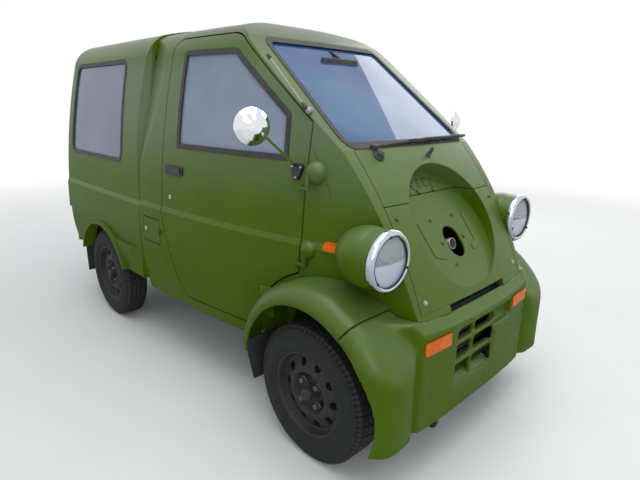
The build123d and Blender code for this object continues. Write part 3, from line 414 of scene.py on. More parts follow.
coats = (
    # finish, the CAD nodes that wear it
    (paint, "cab_shell cargo_shell cowl_panel front_lid fuel_flap door_left door_right tailgate"),
    (paint, "front_bumper front_fenders headlamp_pods rear_bumper"),
    (under_paint, "floor_pan"),
    (seal_black, "window_seals tailgate_seal door_trim_left door_trim_right"),
    (pane, "fixed_glass tailgate_glass"),
    (side_pane, "door_glass_left door_glass_right"),
    (mirror_coat_right, "door_mirror_right"),
    (mirror_coat_left, "door_mirror_left"),
    (plated, "headlamp_rings"),
    (lamp, "headlamp_lenses"),
    (amber, "indicators"),
    (red, "tail_lamps"),
    (grained_black, "wiper mudflaps steering_wheel"),
    (steel, "antenna exhaust"),
    (cabin_grey, "dashboard"),
    (cloth, "seats"),
    (frame_black, "chassis_frame front_suspension rear_axle fuel_tank"),
    (cast, "knuckle_left knuckle_right engine_block"),
    (enamel, "rim_front_right rim_front_left rim_rear_right rim_rear_left"),
    (front_rubber, "tyre_front_right tyre_front_left"),
    (rear_rubber, "tyre_rear_right tyre_rear_left"),
)
for material, names in coats:
    for name in names.split():
        nodes[name].data.materials.clear()
        nodes[name].data.materials.append(material)


# Modelling steps
def select_only(piece):
    bpy.ops.object.select_all(action="DESELECT")
    piece.select_set(True)
    bpy.context.view_layer.objects.active = piece


def take_up(name):
    """Names the form just added and leaves its object at the origin, with its place in its mesh."""
    piece = bpy.context.object
    piece.name = name
    select_only(piece)
    bpy.ops.object.transform_apply(location=True, rotation=True, scale=True)
    return piece


def new_block(name, low, high):
    """A box between two corners, as the start of a piece."""
    low, high = Vector(low), Vector(high)
    bpy.ops.object.select_all(action="DESELECT")
    bpy.ops.mesh.primitive_cube_add(size=1.0, location=(low + high) / 2, scale=high - low)
    return take_up(name)


def new_disc(name, centre, facing, radius, depth, sides=24, steps=()):
    """A short cylinder from centre along facing, whose far end is then shaped by steps."""
    way = Vector(facing).normalized()
    bpy.ops.object.select_all(action="DESELECT")
    bpy.ops.mesh.primitive_cylinder_add(
        vertices=sides,
        radius=radius,
        depth=depth,
        location=Vector(centre) + way * depth / 2,
        rotation=way.to_track_quat("Z", "Y").to_euler(),
    )
    piece = take_up(name)
    if steps:
        step_in(piece, facing, steps)
    return piece


def new_dome(name, centre, facing, radius, rings, sides):
    """A ball with its pole along facing, as the start of a rounded piece."""
    bpy.ops.object.select_all(action="DESELECT")
    bpy.ops.mesh.primitive_uv_sphere_add(
        segments=sides,
        ring_count=rings,
        radius=radius,
        location=centre,
        rotation=Vector(facing).to_track_quat("Z", "Y").to_euler(),
    )
    return take_up(name)


def bar(name, start, end, width, height, up=upwards):
    """A straight bar of rectangular section between two points."""
    start, end = Vector(start), Vector(end)
    along = end - start
    piece = new_block(name, (-width / 2, -height / 2, 0), (width / 2, height / 2, along.length))
    z = along.normalized()
    x = Vector(up).cross(z).normalized()
    turn = Matrix((x, z.cross(x), z)).transposed().to_4x4()
    piece.data.transform(Matrix.Translation(start) @ turn)
    return piece


def every_face(centre, normal):
    return True


def looks(way, limit=0.9):
    """Chooses the faces that look along way."""
    way = Vector(way)
    return lambda centre, normal: normal.dot(way) > limit


def edit_faces(piece, chosen):
    """Goes into edit mode with the faces selected whose centre and normal chosen() accepts."""
    select_only(piece)
    bpy.ops.object.mode_set(mode="EDIT")
    bpy.ops.mesh.select_mode(type="FACE")
    bpy.ops.mesh.select_all(action="DESELECT")
    bpy.ops.object.mode_set(mode="OBJECT")
    for face in piece.data.polygons:
        face.select = bool(chosen(face.center, face.normal))
    bpy.ops.object.mode_set(mode="EDIT")


def on_faces(piece, chosen, step, **settings):
    """Runs one mesh step on the chosen faces."""
    edit_faces(piece, chosen)
    step(**settings)
    bpy.ops.object.mode_set(mode="OBJECT")


def step_in(piece, facing, steps):
    """Shapes the end that looks along facing by rings: how far in, and how far out of the face."""
    facing = Vector(facing).normalized()
    reach = max(vertex.co.dot(facing) for vertex in piece.data.vertices)
    edit_faces(piece, lambda centre, normal: normal.dot(facing) > 0.99 and centre.dot(facing) > reach - 1e-5)
    for inwards, out in steps:
        if inwards:
            bpy.ops.mesh.inset(thickness=inwards, depth=out)
        else:
            bpy.ops.mesh.extrude_region_move(TRANSFORM_OT_translate={"value": facing * out})
    bpy.ops.object.mode_set(mode="OBJECT")


def inset_faces(piece, chosen, inwards, out):
    on_faces(piece, chosen, bpy.ops.mesh.inset, thickness=inwards, depth=out)


def cut_across(piece, point, normal, **clear):
    """Cuts the whole mesh along a plane."""
    on_faces(piece, every_face, bpy.ops.mesh.bisect, plane_co=point, plane_no=normal, **clear)


def modifier(piece, kind, **settings):
    """Adds a modifier and applies it."""
    select_only(piece)
    made = piece.modifiers.new(kind.lower(), kind)
    for name, value in settings.items():
        setattr(made, name, value)
    bpy.ops.object.modifier_apply(modifier=made.name)


def soften(piece, width, segments=2, angle=0.6):
    modifier(piece, "BEVEL", width=width, segments=segments, limit_method="ANGLE", angle_limit=angle)


def finish_piece(piece, material, body="body", smooth=35.0):
    """Gives a piece its shading, material and body."""
    select_only(piece)
    bpy.ops.object.shade_smooth_by_angle(angle=math.radians(smooth))
    piece.data.materials.clear()
    piece.data.materials.append(material)
    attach(piece, body)
    return piece


def copy_of(piece, name, move, spin=0.0, across=False):
    """A copy with its own mesh, spun about x, moved, and mirrored across the middle."""
    twin = piece.copy()
    twin.data = piece.data.copy()
    twin.name = name
    bpy.context.collection.objects.link(twin)
    place = Matrix.Translation(move) @ Matrix.Rotation(spin, 4, "X")
    if across:
        place = Matrix.Scale(-1, 4, (1, 0, 0)) @ place
    twin.data.transform(place)
    if across:
        on_faces(twin, every_face, bpy.ops.mesh.flip_normals)
    return twin


def joined(name, pieces):
    select_only(pieces[0])
    for piece in pieces:
        piece.select_set(True)
    bpy.ops.object.join()
    pieces[0].name = name
    return pieces[0]


def form_of(node, name):
    """A copy of a CAD node's form, merged."""
    piece = bpy.data.objects.new(name, nodes[node].data.copy())
    bpy.context.collection.objects.link(piece)
    on_faces(piece, every_face, bpy.ops.mesh.remove_doubles, threshold=0.00002)
    return piece


def landing(node, start, toward):
    """Where a straight line from start meets a CAD node, and the way its surface faces there."""
    hit, point, normal, _ = nodes[node].ray_cast(Vector(start), Vector(toward).normalized())
    if not hit:
        raise RuntimeError(f"no surface of {node} lies ahead of {start}")
    return point, normal


# Wheels: treaded tyres, nuts, hub caps and valves, modelled for the left and mirrored for the right
tyre_radius = 0.271
crown_edge = tyre_radius - 0.001
tread_steps = 240
groove_edges = (0.011, 0.0165, 0.034, 0.04)


def treaded_tyre():
    """A commercial van tyre round the origin, its axle along x."""
    tyre = new_disc("tyre", (-0.052, 0, 0), leftwards, tyre_radius, 0.104, tread_steps)
    wall = (
        # ring width, outward step: shoulder, side wall with its rings, bead
        (0.0045, 0.0035), (0.012, 0.0075), (0.015, 0.0055), (0.002, 0.0012), (0.0045, 0.0),
        (0.0015, -0.001), (0.015, 0.0038), (0.006, 0.001), (0.014, -0.001), (0.001, 0.0008),
        (0.002, 0.0), (0.001, -0.0008), (0.018, -0.006), (0.008, -0.0062), (0.005, -0.0048),
    )
    for facing in (rightwards, leftwards):
        step_in(tyre, facing, wall)
    on_faces(
        tyre,
        lambda centre, normal: abs(normal.x) > 0.99 and centre.yz.length < 0.01,
        bpy.ops.mesh.bridge_edge_loops,
    )
    for x in (*(-edge for edge in reversed(groove_edges)), *groove_edges):
        cut_across(tyre, (x, 0, 0), leftwards)
    inner_low, inner_high, outer_low, outer_high = groove_edges

    def groove(centre, normal):
        across = abs(centre.x)
        in_groove = inner_low < across < inner_high or outer_low < across < outer_high
        return in_groove and centre.yz.length > crown_edge

    def lateral(centre, normal):
        across, reach = abs(centre.x), centre.yz.length
        step = round(math.atan2(centre.z, centre.y) / (2 * math.pi) * tread_steps - 0.5) % tread_steps
        if across > outer_high and reach > 0.2535:
            return step % 3 == 0
        rib = reach > crown_edge and inner_high < across < outer_low
        middle = reach > crown_edge and across < inner_low
        return (rib and step % 6 == (1 if centre.x > 0 else 4)) or (middle and step % 6 == 2)

    inset_faces(tyre, groove, 0.0006, -0.0055)
    inset_faces(tyre, lateral, 0.0009, -0.0034)
    return tyre


def lug_nut():
    """A hexagon nut on its stud, at the first lug's place on the left wheel's face."""
    lug_circle = 0.055
    y = z = lug_circle * math.cos(math.pi / 4)
    washer = new_disc("nut_washer", (0.0338, y, z), leftwards, 0.0145, 0.003, steps=((0.003, 0.002),))
    facets = ((0.002, 0.0016), (0.003, 0.0004), (0.001, -0.002))
    nut = new_disc("nut_hexagon", (0.0378, y, z), leftwards, 0.0118, 0.015, 6, facets)
    soften(nut, 0.0007)
    end = ((0.0014, 0.001), (0.0008, -0.0006))
    stud = new_disc("nut_stud", (0.046, y, z), leftwards, 0.0058, 0.01, 16, end)
    return joined("lug_nut", [washer, nut, stud])


def hub_cap():
    """The pressed dust cap over the hub, with its rim."""
    dome = (
        (0.003, 0.001), (0.001, 0.011), (0.002, 0.0028), (0.004, 0.0018), (0.01, 0.0006),
        (0.001, -0.0012),
    )
    return new_disc("hub_cap", (0.047, 0, 0), leftwards, 0.03, 0.003, 40, dome)


def valve_stem():
    """The rubber valve with its cap, in the rim's outer ledge."""
    stem = ((0.0016, 0.002), (0.0006, 0.012), (0.0, 0.0004), (0.0012, 0.001))
    return new_disc("valve_root", (0.05, 0, 0.148), (0.8, 0, -0.3), 0.0058, 0.008, 16, stem)


def steel_wheel():
    """A dished steel wheel round the origin: flanges, deep barrel, disc with a raised ring and ten holes."""
    half_width = 0.0625
    flange = 0.005
    outer_face = (
        # ring width, outward step: flange, barrel, raised ring with the holes, hollow round the hub
        (0.0012, 0.0008), (0.0034, -0.0004), (0.005, -0.005), (0.003, -0.009), (0.006, -0.015),
        (0.006, -0.003), (0.006, 0.001), (0.009, 0.0045), (0.018, 0.006), (0.008, 0.0028),
        (0.006, 0.0036), (0.006, 0.0014), (0.005, -0.0006), (0.005, -0.005), (0.007, -0.016),
        (0.006, -0.005), (0.02, -0.0006), (0.014, 0.0006), (0.002, 0.006),
    )
    inner_face = (
        # flange, barrel, flat of the disc, and the brake drum's hollow
        (0.0046, 0.0), (0.006, -0.006), (0.006, -0.026), (0.01, -0.004), (0.006, -0.038),
        (0.043, 0.0), (0.0004, 0.023), (0.0767, 0.0), (0.0001, -0.0335),
    )
    rim = new_disc("rim", (-half_width, 0, 0), leftwards, 0.168, 2 * half_width, 120, outer_face)
    step_in(rim, rightwards, inner_face)
    well = half_width - flange
    for x in (-well, well):
        cut_across(rim, (x, 0, 0), leftwards)

    def between_flanges(centre, normal):
        return centre.yz.length > 0.167 and abs(centre.x) < well

    inset_faces(rim, between_flanges, 0.0006, -0.0095)
    holes, hole_circle = 10, 0.123
    for index in range(holes):
        angle = 2 * math.pi * index / holes
        y, z = hole_circle * math.cos(angle), hole_circle * math.sin(angle)
        punch = new_disc("punch", (0.015, y, z), leftwards, 0.016, 0.06, 28)
        modifier(rim, "BOOLEAN", object=punch, operation="DIFFERENCE", solver="EXACT")
        bpy.data.objects.remove(punch, do_unlink=True)
    return rim


tyre_master = treaded_tyre()
rim_master = steel_wheel()
nut_master = lug_nut()
cap_master = hub_cap()
valve_master = valve_stem()
for ending, side, axle_y in wheels:
    centre = (wheel_plane_x, axle_y, axle_z)
    wheel_body, right = "wheel_" + ending, side < 0
    tyre = copy_of(tyre_master, "tread_tyre_" + ending, centre, across=right)
    finish_piece(tyre, front_rubber if axle_y == front_axle_y else rear_rubber, wheel_body, 40.0)
    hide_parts("tyre_" + ending)
    steel_rim = copy_of(rim_master, "steel_rim_" + ending, centre, across=right)
    finish_piece(steel_rim, enamel, wheel_body, 30.0)
    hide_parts("rim_" + ending)
    nuts = [copy_of(nut_master, "nut", centre, index * math.pi / 2, right) for index in range(4)]
    finish_piece(joined("lug_nuts_" + ending, nuts), rusty_steel, wheel_body)
    finish_piece(copy_of(cap_master, "hub_cap_" + ending, centre, across=right), enamel, wheel_body)
    finish_piece(copy_of(valve_master, "valve_" + ending, centre, 0.7 + side, right), seal_black, wheel_body)
for master in (tyre_master, rim_master, nut_master, cap_master, valve_master):
    bpy.data.objects.remove(master, do_unlink=True)


# Headlamps: reflector, bulb shield, ribbed glass, black rubber ring and three spring clips
lamp_x, lamp_z = 0.481, 0.835
glass_edge_y = -1.2743


def headlamp(side, name):
    x = side * lamp_x
    bowl = (
        (0.003, 0.0), (0.01, -0.003), (0.016, -0.0032), (0.02, -0.002), (0.017, -0.0008),
        (0.005, 0.0),
    )
    dish = new_disc("lamp_reflector_" + name, (x, -1.2624, lamp_z), forwards, 0.0868, 0.0105, 64, bowl)
    finish_piece(dish, mirror_metal, smooth=60.0)
    cup = ((0.002, 0.003), (0.001, 0.005), (0.003, 0.0016), (0.003, 0.0006))
    bulb = new_disc("lamp_bulb_shield_" + name, (x, -1.2635, lamp_z), forwards, 0.013, 0.008, 32, cup)
    finish_piece(bulb, plated)
    curve, bulge = 0.2445, 0.016
    glass = new_dome("lamp_glass_" + name, (x, glass_edge_y - bulge + curve, lamp_z), forwards, curve, 96, 64)
    cut_across(glass, (x, glass_edge_y, lamp_z), rearwards, clear_outer=True, use_fill=False)
    modifier(glass, "SOLIDIFY", thickness=0.003, offset=-1.0)
    finish_piece(glass, lamp, smooth=40.0)
    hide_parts("headlamp_lenses")
    lip = ((0.0012, 0.001), (0.003, 0.0), (0.001, -0.004))
    ring = new_disc("lamp_rubber_" + name, (x, -1.27, lamp_z), forwards, 0.0895, 0.01, 64, lip)
    on_faces(
        ring,
        lambda centre, normal: abs(normal.y) > 0.99 and (centre.xz - Vector((x, lamp_z))).length < 0.01,
        bpy.ops.mesh.bridge_edge_loops,
    )
    finish_piece(ring, seal_black)
    for index, clock in enumerate((100.0, 218.0, 338.0)):
        angle = math.radians(clock if side < 0 else 180.0 - clock)
        away = Vector((math.cos(angle), 0, math.sin(angle)))
        root = Vector((x, -1.2815, lamp_z)) + away * 0.0905
        head = ((0.0014, 0.0012), (0.001, -0.0008))
        clip = new_disc(f"lamp_clip_{name}_{index + 1}", root, forwards, 0.0052, 0.004, 6, head)
        finish_piece(clip, enamel)
    place, facing = (x + side * 0.0925, -1.17, lamp_z + 0.027), (side, -0.28, 0.3)
    head = ((0.0016, 0.0014), (0.002, -0.0012))
    finish_piece(new_disc("lamp_screw_" + name, place, facing, 0.0062, 0.006, 20, head), paint)


for side, name in sides:
    headlamp(side, name)


def lid_bolt(name, x, y, z, radius, material, corners=6):
    """A bolt with its washer, seated on the front lid."""
    point, normal = landing("front_lid", (x, y, z), rearwards)
    edge = ((radius * 0.25, 0.0006),)
    washer = new_disc(name + "_washer", point - normal * 0.0004, normal, radius * 1.45, 0.0018, steps=edge)
    crown = ((radius * 0.14, 0.0008), (radius * 0.3, -0.0008))
    head = new_disc(name, point + normal * 0.0016, normal, radius, 0.0042, corners, crown)
    finish_piece(joined(name, [head, washer]), material)


for side, name in sides:
    lid_bolt("recess_bolt_top_" + name, side * 0.079, -1.4, 0.89, 0.0058, paint)
    lid_bolt("recess_bolt_low_" + name, side * 0.078, -1.4, 0.811, 0.0058, paint)
    lid_bolt("lid_screw_" + name, side * 0.338, -1.5, 0.668, 0.0062, bright_steel, 16)
    lid_bolt("lid_screw_top_" + name, side * 0.338, -1.5, 0.94, 0.0055, paint, 16)
lid_bolt("recess_bolt_foot", -0.06, -1.5, 0.735, 0.0058, paint)

# A grey pipe end inside the recess hole, and the radiator behind the grille
bore = ((0.0008, 0.0012), (0.0022, 0.0), (0.0006, -0.05))
pipe = new_disc("nose_pipe", (0.022, -1.02, 0.722), (-0.06, -1, 0.36), 0.0235, 0.205, 32, bore)
finish_piece(pipe, bright_steel)
core_low_z, core_high_z, core_rows = 0.345, 0.575, 18
core = new_block("radiator_core", (-0.215, -1.318, core_low_z), (0.215, -1.288, core_high_z))
on_faces(core, looks(forwards), bpy.ops.mesh.subdivide, number_cuts=core_rows - 1)


def every_other_row(centre, normal):
    row = int((centre.z - core_low_z) / (core_high_z - core_low_z) * core_rows)
    return normal.y < -0.9 and row % 2 == 0


inset_faces(core, every_other_row, 0.0012, -0.008)
finish_piece(core, radiator_black)
for name, low_z, high_z in (("top", 0.5756, 0.595), ("bottom", 0.31, 0.3444)):
    tank = new_block("radiator_tank_" + name, (-0.228, -1.326, low_z), (0.228, -1.28, high_z))
    soften(tank, 0.006, 3)
    inset_faces(tank, looks(forwards, 0.95), 0.004, 0.0015)
    finish_piece(tank, enamel)

# The sloping painted ledge at the foot of the grille opening
ledge = new_block("grille_ledge", (-0.199, -1.388, 0.306), (0.074, -1.344, 0.312))
slope = {"value": (0, 0.024, 0.024)}
on_faces(ledge, looks(upwards), bpy.ops.mesh.extrude_region_move, TRANSFORM_OT_translate=slope)
soften(ledge, 0.003)
finish_piece(ledge, paint)

# Black clips at the plate's two screw holes
for side, name in ((-1, "inner"), (1, "outer")):
    point, normal = landing("front_bumper", (side * 0.152 + 0.2445, -1.5, 0.438), rearwards)
    head = ((0.002, 0.0012), (0.0015, -0.002))
    clip = new_disc("plate_clip_" + name, point - normal * 0.0036, normal, 0.009, 0.003, 4, head)
    finish_piece(clip, grained_black)

# Wiper: pivot cap, blade holder with its claws, rubber and boot; washer nozzle beside it
crown = ((0.003, 0.003), (0.006, 0.0014))
cap = new_disc("wiper_pivot_cap", (-0.266, -1.013, 1.1745), (0, -0.22, 0.97), 0.0165, 0.008, 32, crown)
finish_piece(cap, grained_black)
screen_out = Vector((0, -0.62, 0.785))
tip = Vector((0.408, -0.9935, 1.1935))
heel = Vector((-0.052, -1.0112, 1.1868))
holder = bar("wiper_holder", heel + screen_out * 0.006, tip + screen_out * 0.003, 0.008, 0.007)
soften(holder, 0.002)
inset_faces(holder, looks(screen_out), 0.0014, -0.0008)
finish_piece(holder, enamel)
blade = bar("wiper_rubber", heel - screen_out * 0.004, tip - screen_out * 0.0052, 0.006, 0.006)
inset_faces(blade, looks(-screen_out), 0.0018, 0.002)
finish_piece(blade, seal_black)
claws = 4
for index in range(claws):
    middle = heel.lerp(tip, (index + 0.5) / claws)
    low, high = middle - Vector((0.011, 0.0062, 0.0075)), middle + Vector((0.011, 0.0048, 0.0085))
    claw = new_block(f"wiper_claw_{index + 1}", low, high)
    soften(claw, 0.0022)
    finish_piece(claw, enamel)
point, normal = landing("cowl_panel", (0.028, -1.4, 1.129), rearwards)
collar = ((0.0024, 0.0016), (0.001, 0.003))
nozzle = new_disc("washer_nozzle", point - normal * 0.0006, normal, 0.012, 0.004, steps=collar)
finish_piece(nozzle, grained_black)
mouth = ((0.0008, 0.001), (0.0012, 0.007), (0.0012, 0.0008), (0.0016, -0.002))
spout = new_disc("washer_spout", point, (0.28, -0.42, 0.86), 0.0078, 0.03, steps=mouth)
finish_piece(spout, grained_black)
point, normal = landing("cowl_panel", (-0.266, -1.4, 1.144), rearwards)
folds = ((0.002, 0.0012), (0.004, 0.006), (0.0016, 0.0006), (0.003, 0.007), (0.003, 0.001))
boot = new_disc("wiper_boot", point - normal * 0.0006, normal, 0.024, 0.005, 32, folds)
finish_piece(boot, grained_black)

# Locks of the doors, fuel flap and tailgate, each on the CAD node and body of the same name
for door, node, start, toward in (
    ("right", "door_right", (-0.9, -0.025, 0.885), leftwards),
    ("left", "door_left", (0.9, -0.025, 0.885), rightwards),
    ("flap", "fuel_flap", (-0.9, 0.212, 0.69), leftwards),
    ("tailgate", "tailgate", (0.0, 1.6, 0.835), forwards),
):
    point, normal = landing(node, start, toward)
    face = ((0.0012, 0.001), (0.0016, -0.001), (0.006, 0.0002))
    barrel = new_disc("lock_" + door, point - normal * 0.0006, normal, 0.0115, 0.0024, 32, face)
    finish_piece(barrel, bright_steel, node)
    face = ((0.001, -0.0006),)
    slit = new_disc("key_slot_" + door, point + normal * 0.0016, normal, 0.0032, 0.0008, 12, face)
    finish_piece(slit, seal_black, node)

# A painted panel on each side closes the gap between the front fender's heel and the door
for side, name in sides:
    low_x, high_x = sorted((side * 0.546, side * 0.538))
    heel_panel = new_block("fender_heel_" + name, (low_x, -0.735, 0.47), (high_x, -0.657, 0.603))
    on_faces(heel_panel, looks(forwards), bpy.ops.transform.translate, value=(-side * 0.0115, 0, 0))
    soften(heel_panel, 0.0015)
    finish_piece(heel_panel, paint)

# The moulded bumper with the soft corners that its filler and paint give it
arch_centre = Vector((0, -1.02, 0.305))
seam_lean = math.radians(57.0)
seam_facing = Vector((0, math.sin(seam_lean), math.cos(seam_lean)))


def ramp(value, low, high):
    return min(max((value - low) / (high - low), 0.0), 1.0)


bumper = form_of("front_bumper", "moulded_front_bumper")
modifier(bumper, "REMESH", mode="VOXEL", voxel_size=0.005)
modifier(bumper, "SMOOTH", factor=0.5, iterations=10)
broad = bumper.vertex_groups.new(name="broad")
for vertex in bumper.data.vertices:
    from_arch = vertex.co - arch_centre
    share = ramp(abs(vertex.co.x), 0.43, 0.47) * ramp(from_arch.yz.length, 0.336, 0.362)
    share *= ramp(vertex.co.z, 0.215, 0.265) * ramp(-from_arch.dot(seam_facing), 0.012, 0.045)
    broad.add([vertex.index], max(share, ramp(-vertex.normal.y, 0.93, 0.985)), "REPLACE")
modifier(bumper, "SMOOTH", factor=0.5, iterations=90, vertex_group="broad")
bumper.vertex_groups.clear()
finish_piece(bumper, paint, smooth=60.0)
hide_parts("front_bumper")

# A strip behind each seam of fender and bumper
set_in = 0.0105
strip = form_of("front_fenders", "fender_joint_strip")
cut_across(strip, arch_centre + seam_facing * 0.022, seam_facing, clear_outer=True, use_fill=True)
cut_across(strip, arch_centre + seam_facing * 0.002, seam_facing, clear_inner=True, use_fill=True)
for vertex in strip.data.vertices:
    from_arch = vertex.co - arch_centre
    shrink = (from_arch.yz.length - set_in) / from_arch.yz.length
    vertex.co = arch_centre + from_arch * Vector((1, shrink, shrink))
    vertex.co -= seam_facing * 0.012 + Vector((math.copysign(set_in, vertex.co.x), 0, 0))
finish_piece(strip, paint)

# The aerial's black collar and its clip on the pillar
mast_foot, mast_tip = Vector((-0.449, -0.841, 1.306)), Vector((-0.443, -0.613, 1.503))
mast = (mast_tip - mast_foot).normalized()
steps = ((0.0016, 0.003), (0.0018, 0.01), (0.0008, 0.001))
collar = new_disc("antenna_collar", mast_foot + mast * 0.004, mast, 0.0088, 0.02, 20, steps)
finish_piece(collar, seal_black)
steps = ((0.0014, 0.0012), (0.001, 0.004), (0.0016, 0.0006))
clip = new_disc("antenna_clip", mast_tip - mast * 0.012, mast, 0.0078, 0.014, 20, steps)
finish_piece(clip, grained_black)

# Door pulls: a hinged black paddle over the CAD's handle plate
for side, name in sides:
    point, _ = landing("door_trim_" + name, (side * 0.9, -0.06, 1.015), (-side, 0, 0))
    low, high = (point.x - 0.002, -0.118, 1.003), (point.x + 0.002, -0.004, 1.029)
    paddle = new_block("door_pull_" + name, low, high)
    soften(paddle, 0.0016, 3)
    inset_faces(paddle, looks((side, 0, 0), 0.95), 0.003, -0.0008)
    finish_piece(paddle, grained_black, "door_" + name)

# Mirror glass, and the three screws of each mirror's foot
for side, name in sides:
    turn = side * math.radians(mirror_turns[name])
    back = Vector((-math.sin(turn), math.cos(turn), 0))
    centre = Vector((side * mirror_x[name], mirror_y, mirror_z)) + back * 0.0117
    edge = ((0.0016, 0.0006), (0.0014, -0.0012), (0.01, 0.0002))
    glass = new_disc("mirror_rim_" + name, centre, back, 0.0658, 0.003, 64, edge)
    finish_piece(glass, mirror_metal, "door_" + name)
    screws = []
    for y, z in ((-0.803, 1.1), (-0.842, 1.1), (-0.822, 1.061)):
        point, normal = landing("door_mirror_" + name, (side * 0.9, y, z), (-side, 0, 0))
        head = ((0.001, 0.0008), (0.0012, -0.001))
        screws.append(new_disc("mirror_screw", point - normal * 0.0006, normal, 0.0036, 0.0016, 16, head))
    finish_piece(joined("mirror_screws_" + name, screws), bright_steel, "door_" + name)

# Tailgate pull and the lamps over the plate
point, _ = landing("tailgate", (0.0, 1.6, 0.905), forwards)
low, high = point + Vector((-0.095, -0.004, -0.022)), point + Vector((0.095, 0.012, 0.022))
pull = new_block("tailgate_pull", low, high)
soften(pull, 0.006, 3)
inset_faces(pull, looks(rearwards, 0.95), 0.006, -0.006)
finish_piece(pull, grained_black, "tailgate")
for side, name in sides:
    point, _ = landing("tailgate", (side * 0.185, 1.6, 0.742), forwards)
    low, high = point + Vector((-0.026, -0.003, -0.012)), point + Vector((0.026, 0.0078, 0.012))
    plate_lamp = new_block("plate_lamp_" + name, low, high)
    soften(plate_lamp, 0.0026, 3)
    inset_faces(plate_lamp, looks(downwards, 0.95), 0.0016, -0.0012)
    finish_piece(plate_lamp, grained_black, "tailgate")


# Cab: seats with piped cushions, instrument hood, levers, pedals and inside mirror
def seat_pad(name, low, high, plump, channels, lean=0.0):
    """A stuffed pad: a rounded box with sewn channels across it, leaning back as it rises."""
    squareness, channel_size = 6, 0.006
    low, high = Vector(low), Vector(high)
    pad = new_block(name, low, high)
    on_faces(pad, every_face, bpy.ops.mesh.subdivide, number_cuts=11)
    middle, half = (low + high) / 2, (high - low) / 2
    thin = min(range(3), key=lambda axis: half[axis])
    first, second = [axis for axis in range(3) if axis != thin]
    along = first if half[first] > half[second] else second
    for vertex in pad.data.vertices:
        u = [(vertex.co[axis] - middle[axis]) / half[axis] for axis in range(3)]
        spread = sum(abs(part) ** squareness for part in u) ** (1 / squareness) if any(u) else 1.0
        pull = 1.0 / max(spread, 1.0)
        crown = 1.0 - plump * (abs(u[first]) ** 2.5 + abs(u[second]) ** 2.5) / 2
        for axis in range(3):
            reach = half[axis] * u[axis] * pull
            vertex.co[axis] = middle[axis] + (reach * crown if axis == thin else reach)
        for share in channels:
            near = math.exp(-(((u[along] - share) * half[along]) / channel_size) ** 2)
            vertex.co[thin] -= math.copysign(channel_size * near, u[thin])
        vertex.co.y += lean * (vertex.co.z - low.z)
    modifier(pad, "SUBSURF", levels=2, render_levels=2)
    return finish_piece(pad, cloth, smooth=60.0)


pad_shapes = (
    # name, half width, y and z where it starts and ends, plumpness, channels, lean
    ("cushion", 0.198, (-0.298, 0.15), (0.604, 0.705), 0.16, (-0.55, -0.1, 0.35), 0.0),
    ("back", 0.188, (0.128, 0.216), (0.69, 1.175), 0.2, (-0.5, 0.0, 0.5), 0.098),
    ("head_rest", 0.108, (0.185, 0.252), (1.186, 1.33), 0.2, (), 0.09),
)
for side, name in sides:
    seat_x = side * 0.225
    for kind, half_width, depths, heights, plump, channels, lean in pad_shapes:
        low = (seat_x - half_width, depths[0], heights[0])
        high = (seat_x + half_width, depths[1], heights[1])
        seat_pad(f"seat_{kind}_{name}", low, high, plump, channels, lean)
    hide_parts("seats")
    for post, post_name in sides:
        place, facing = (seat_x + post * 0.05, 0.229, 1.15), (0, 0.09, 1)
        full_name = f"head_rest_post_{name}_{post_name}"
        stem = new_disc(full_name, place, facing, 0.006, 0.056, 16, ((0.001, 0.001),))
        finish_piece(stem, plated)

# Panels that close the box under the seats, with a flange down to the sill
flange_top = 0.338
for side, name in sides:
    low_x, high_x = sorted((side * 0.49, side * 0.498))
    box_side = new_block("seat_box_side_" + name, (low_x, -0.317, 0.33), (high_x, 0.282, 0.587))
    cut_across(box_side, (0, 0, flange_top), upwards)
    on_faces(
        box_side,
        lambda centre, normal: normal.x * side > 0.9 and centre.z < flange_top,
        bpy.ops.mesh.extrude_region_move,
        TRANSFORM_OT_translate={"value": (side * 0.021, 0, 0)},
    )
    edit_faces(box_side, lambda centre, normal: normal.x * side > 0.9 and centre.z > flange_top)
    bpy.ops.mesh.inset(thickness=0.04, depth=0.0)
    bpy.ops.mesh.inset(thickness=0.004, depth=-0.003)
    bpy.ops.object.mode_set(mode="OBJECT")
    finish_piece(box_side, under_paint)

hood = new_block("instrument_hood", (-0.375, -0.93, 1.114), (-0.085, -0.772, 1.19))
step_in(hood, rearwards, ((0.01, 0.0), (0.002, -0.04)))
soften(hood, 0.005, 3)
finish_piece(hood, cabin_grey)
lever_way = (0, 0.16, 1)
gaiter = ((0.01, 0.03), (0.011, 0.035), (0.005, 0.006), (0.0, 0.191))
lever = new_disc("gear_lever", (0.0, -0.47, 0.402), lever_way, 0.032, 0.012, steps=gaiter)
finish_piece(lever, seal_black)
knob = new_dome("gear_knob", (0.0, -0.425, 0.696), lever_way, 0.021, 16, 24)
cut_across(knob, (0.0, -0.428, 0.679), lever_way, clear_inner=True, use_fill=True)
finish_piece(knob, grained_black)
brake = bar("hand_brake", (0.0, -0.3, 0.62), (0.0, -0.48, 0.74), 0.026, 0.026)
soften(brake, 0.008, 3)
finish_piece(brake, grained_black)
for index, x in enumerate((-0.3, -0.215, -0.13)):
    arm = bar(f"pedal_arm_{index + 1}", (x, -0.755, 0.8), (x, -0.59, 0.52), 0.008, 0.014, leftwards)
    soften(arm, 0.002)
    finish_piece(arm, enamel)
    pad = new_block(f"pedal_pad_{index + 1}", (x - 0.026, -0.605, 0.48), (x + 0.026, -0.588, 0.54))
    soften(pad, 0.005)
    inset_faces(pad, looks(rearwards), 0.004, 0.002)
    finish_piece(pad, seal_black)
inside = new_block("inside_mirror", (-0.115, -0.585, 1.465), (0.115, -0.563, 1.525))
soften(inside, 0.01, 4)
inset_faces(inside, looks(rearwards, 0.95), 0.003, -0.001)
finish_piece(inside, grained_black)
stay = bar("inside_mirror_stay", (0.0, -0.57, 1.524), (0.0, -0.5, 1.562), 0.012, 0.01, leftwards)
soften(stay, 0.002)
finish_piece(stay, grained_black)


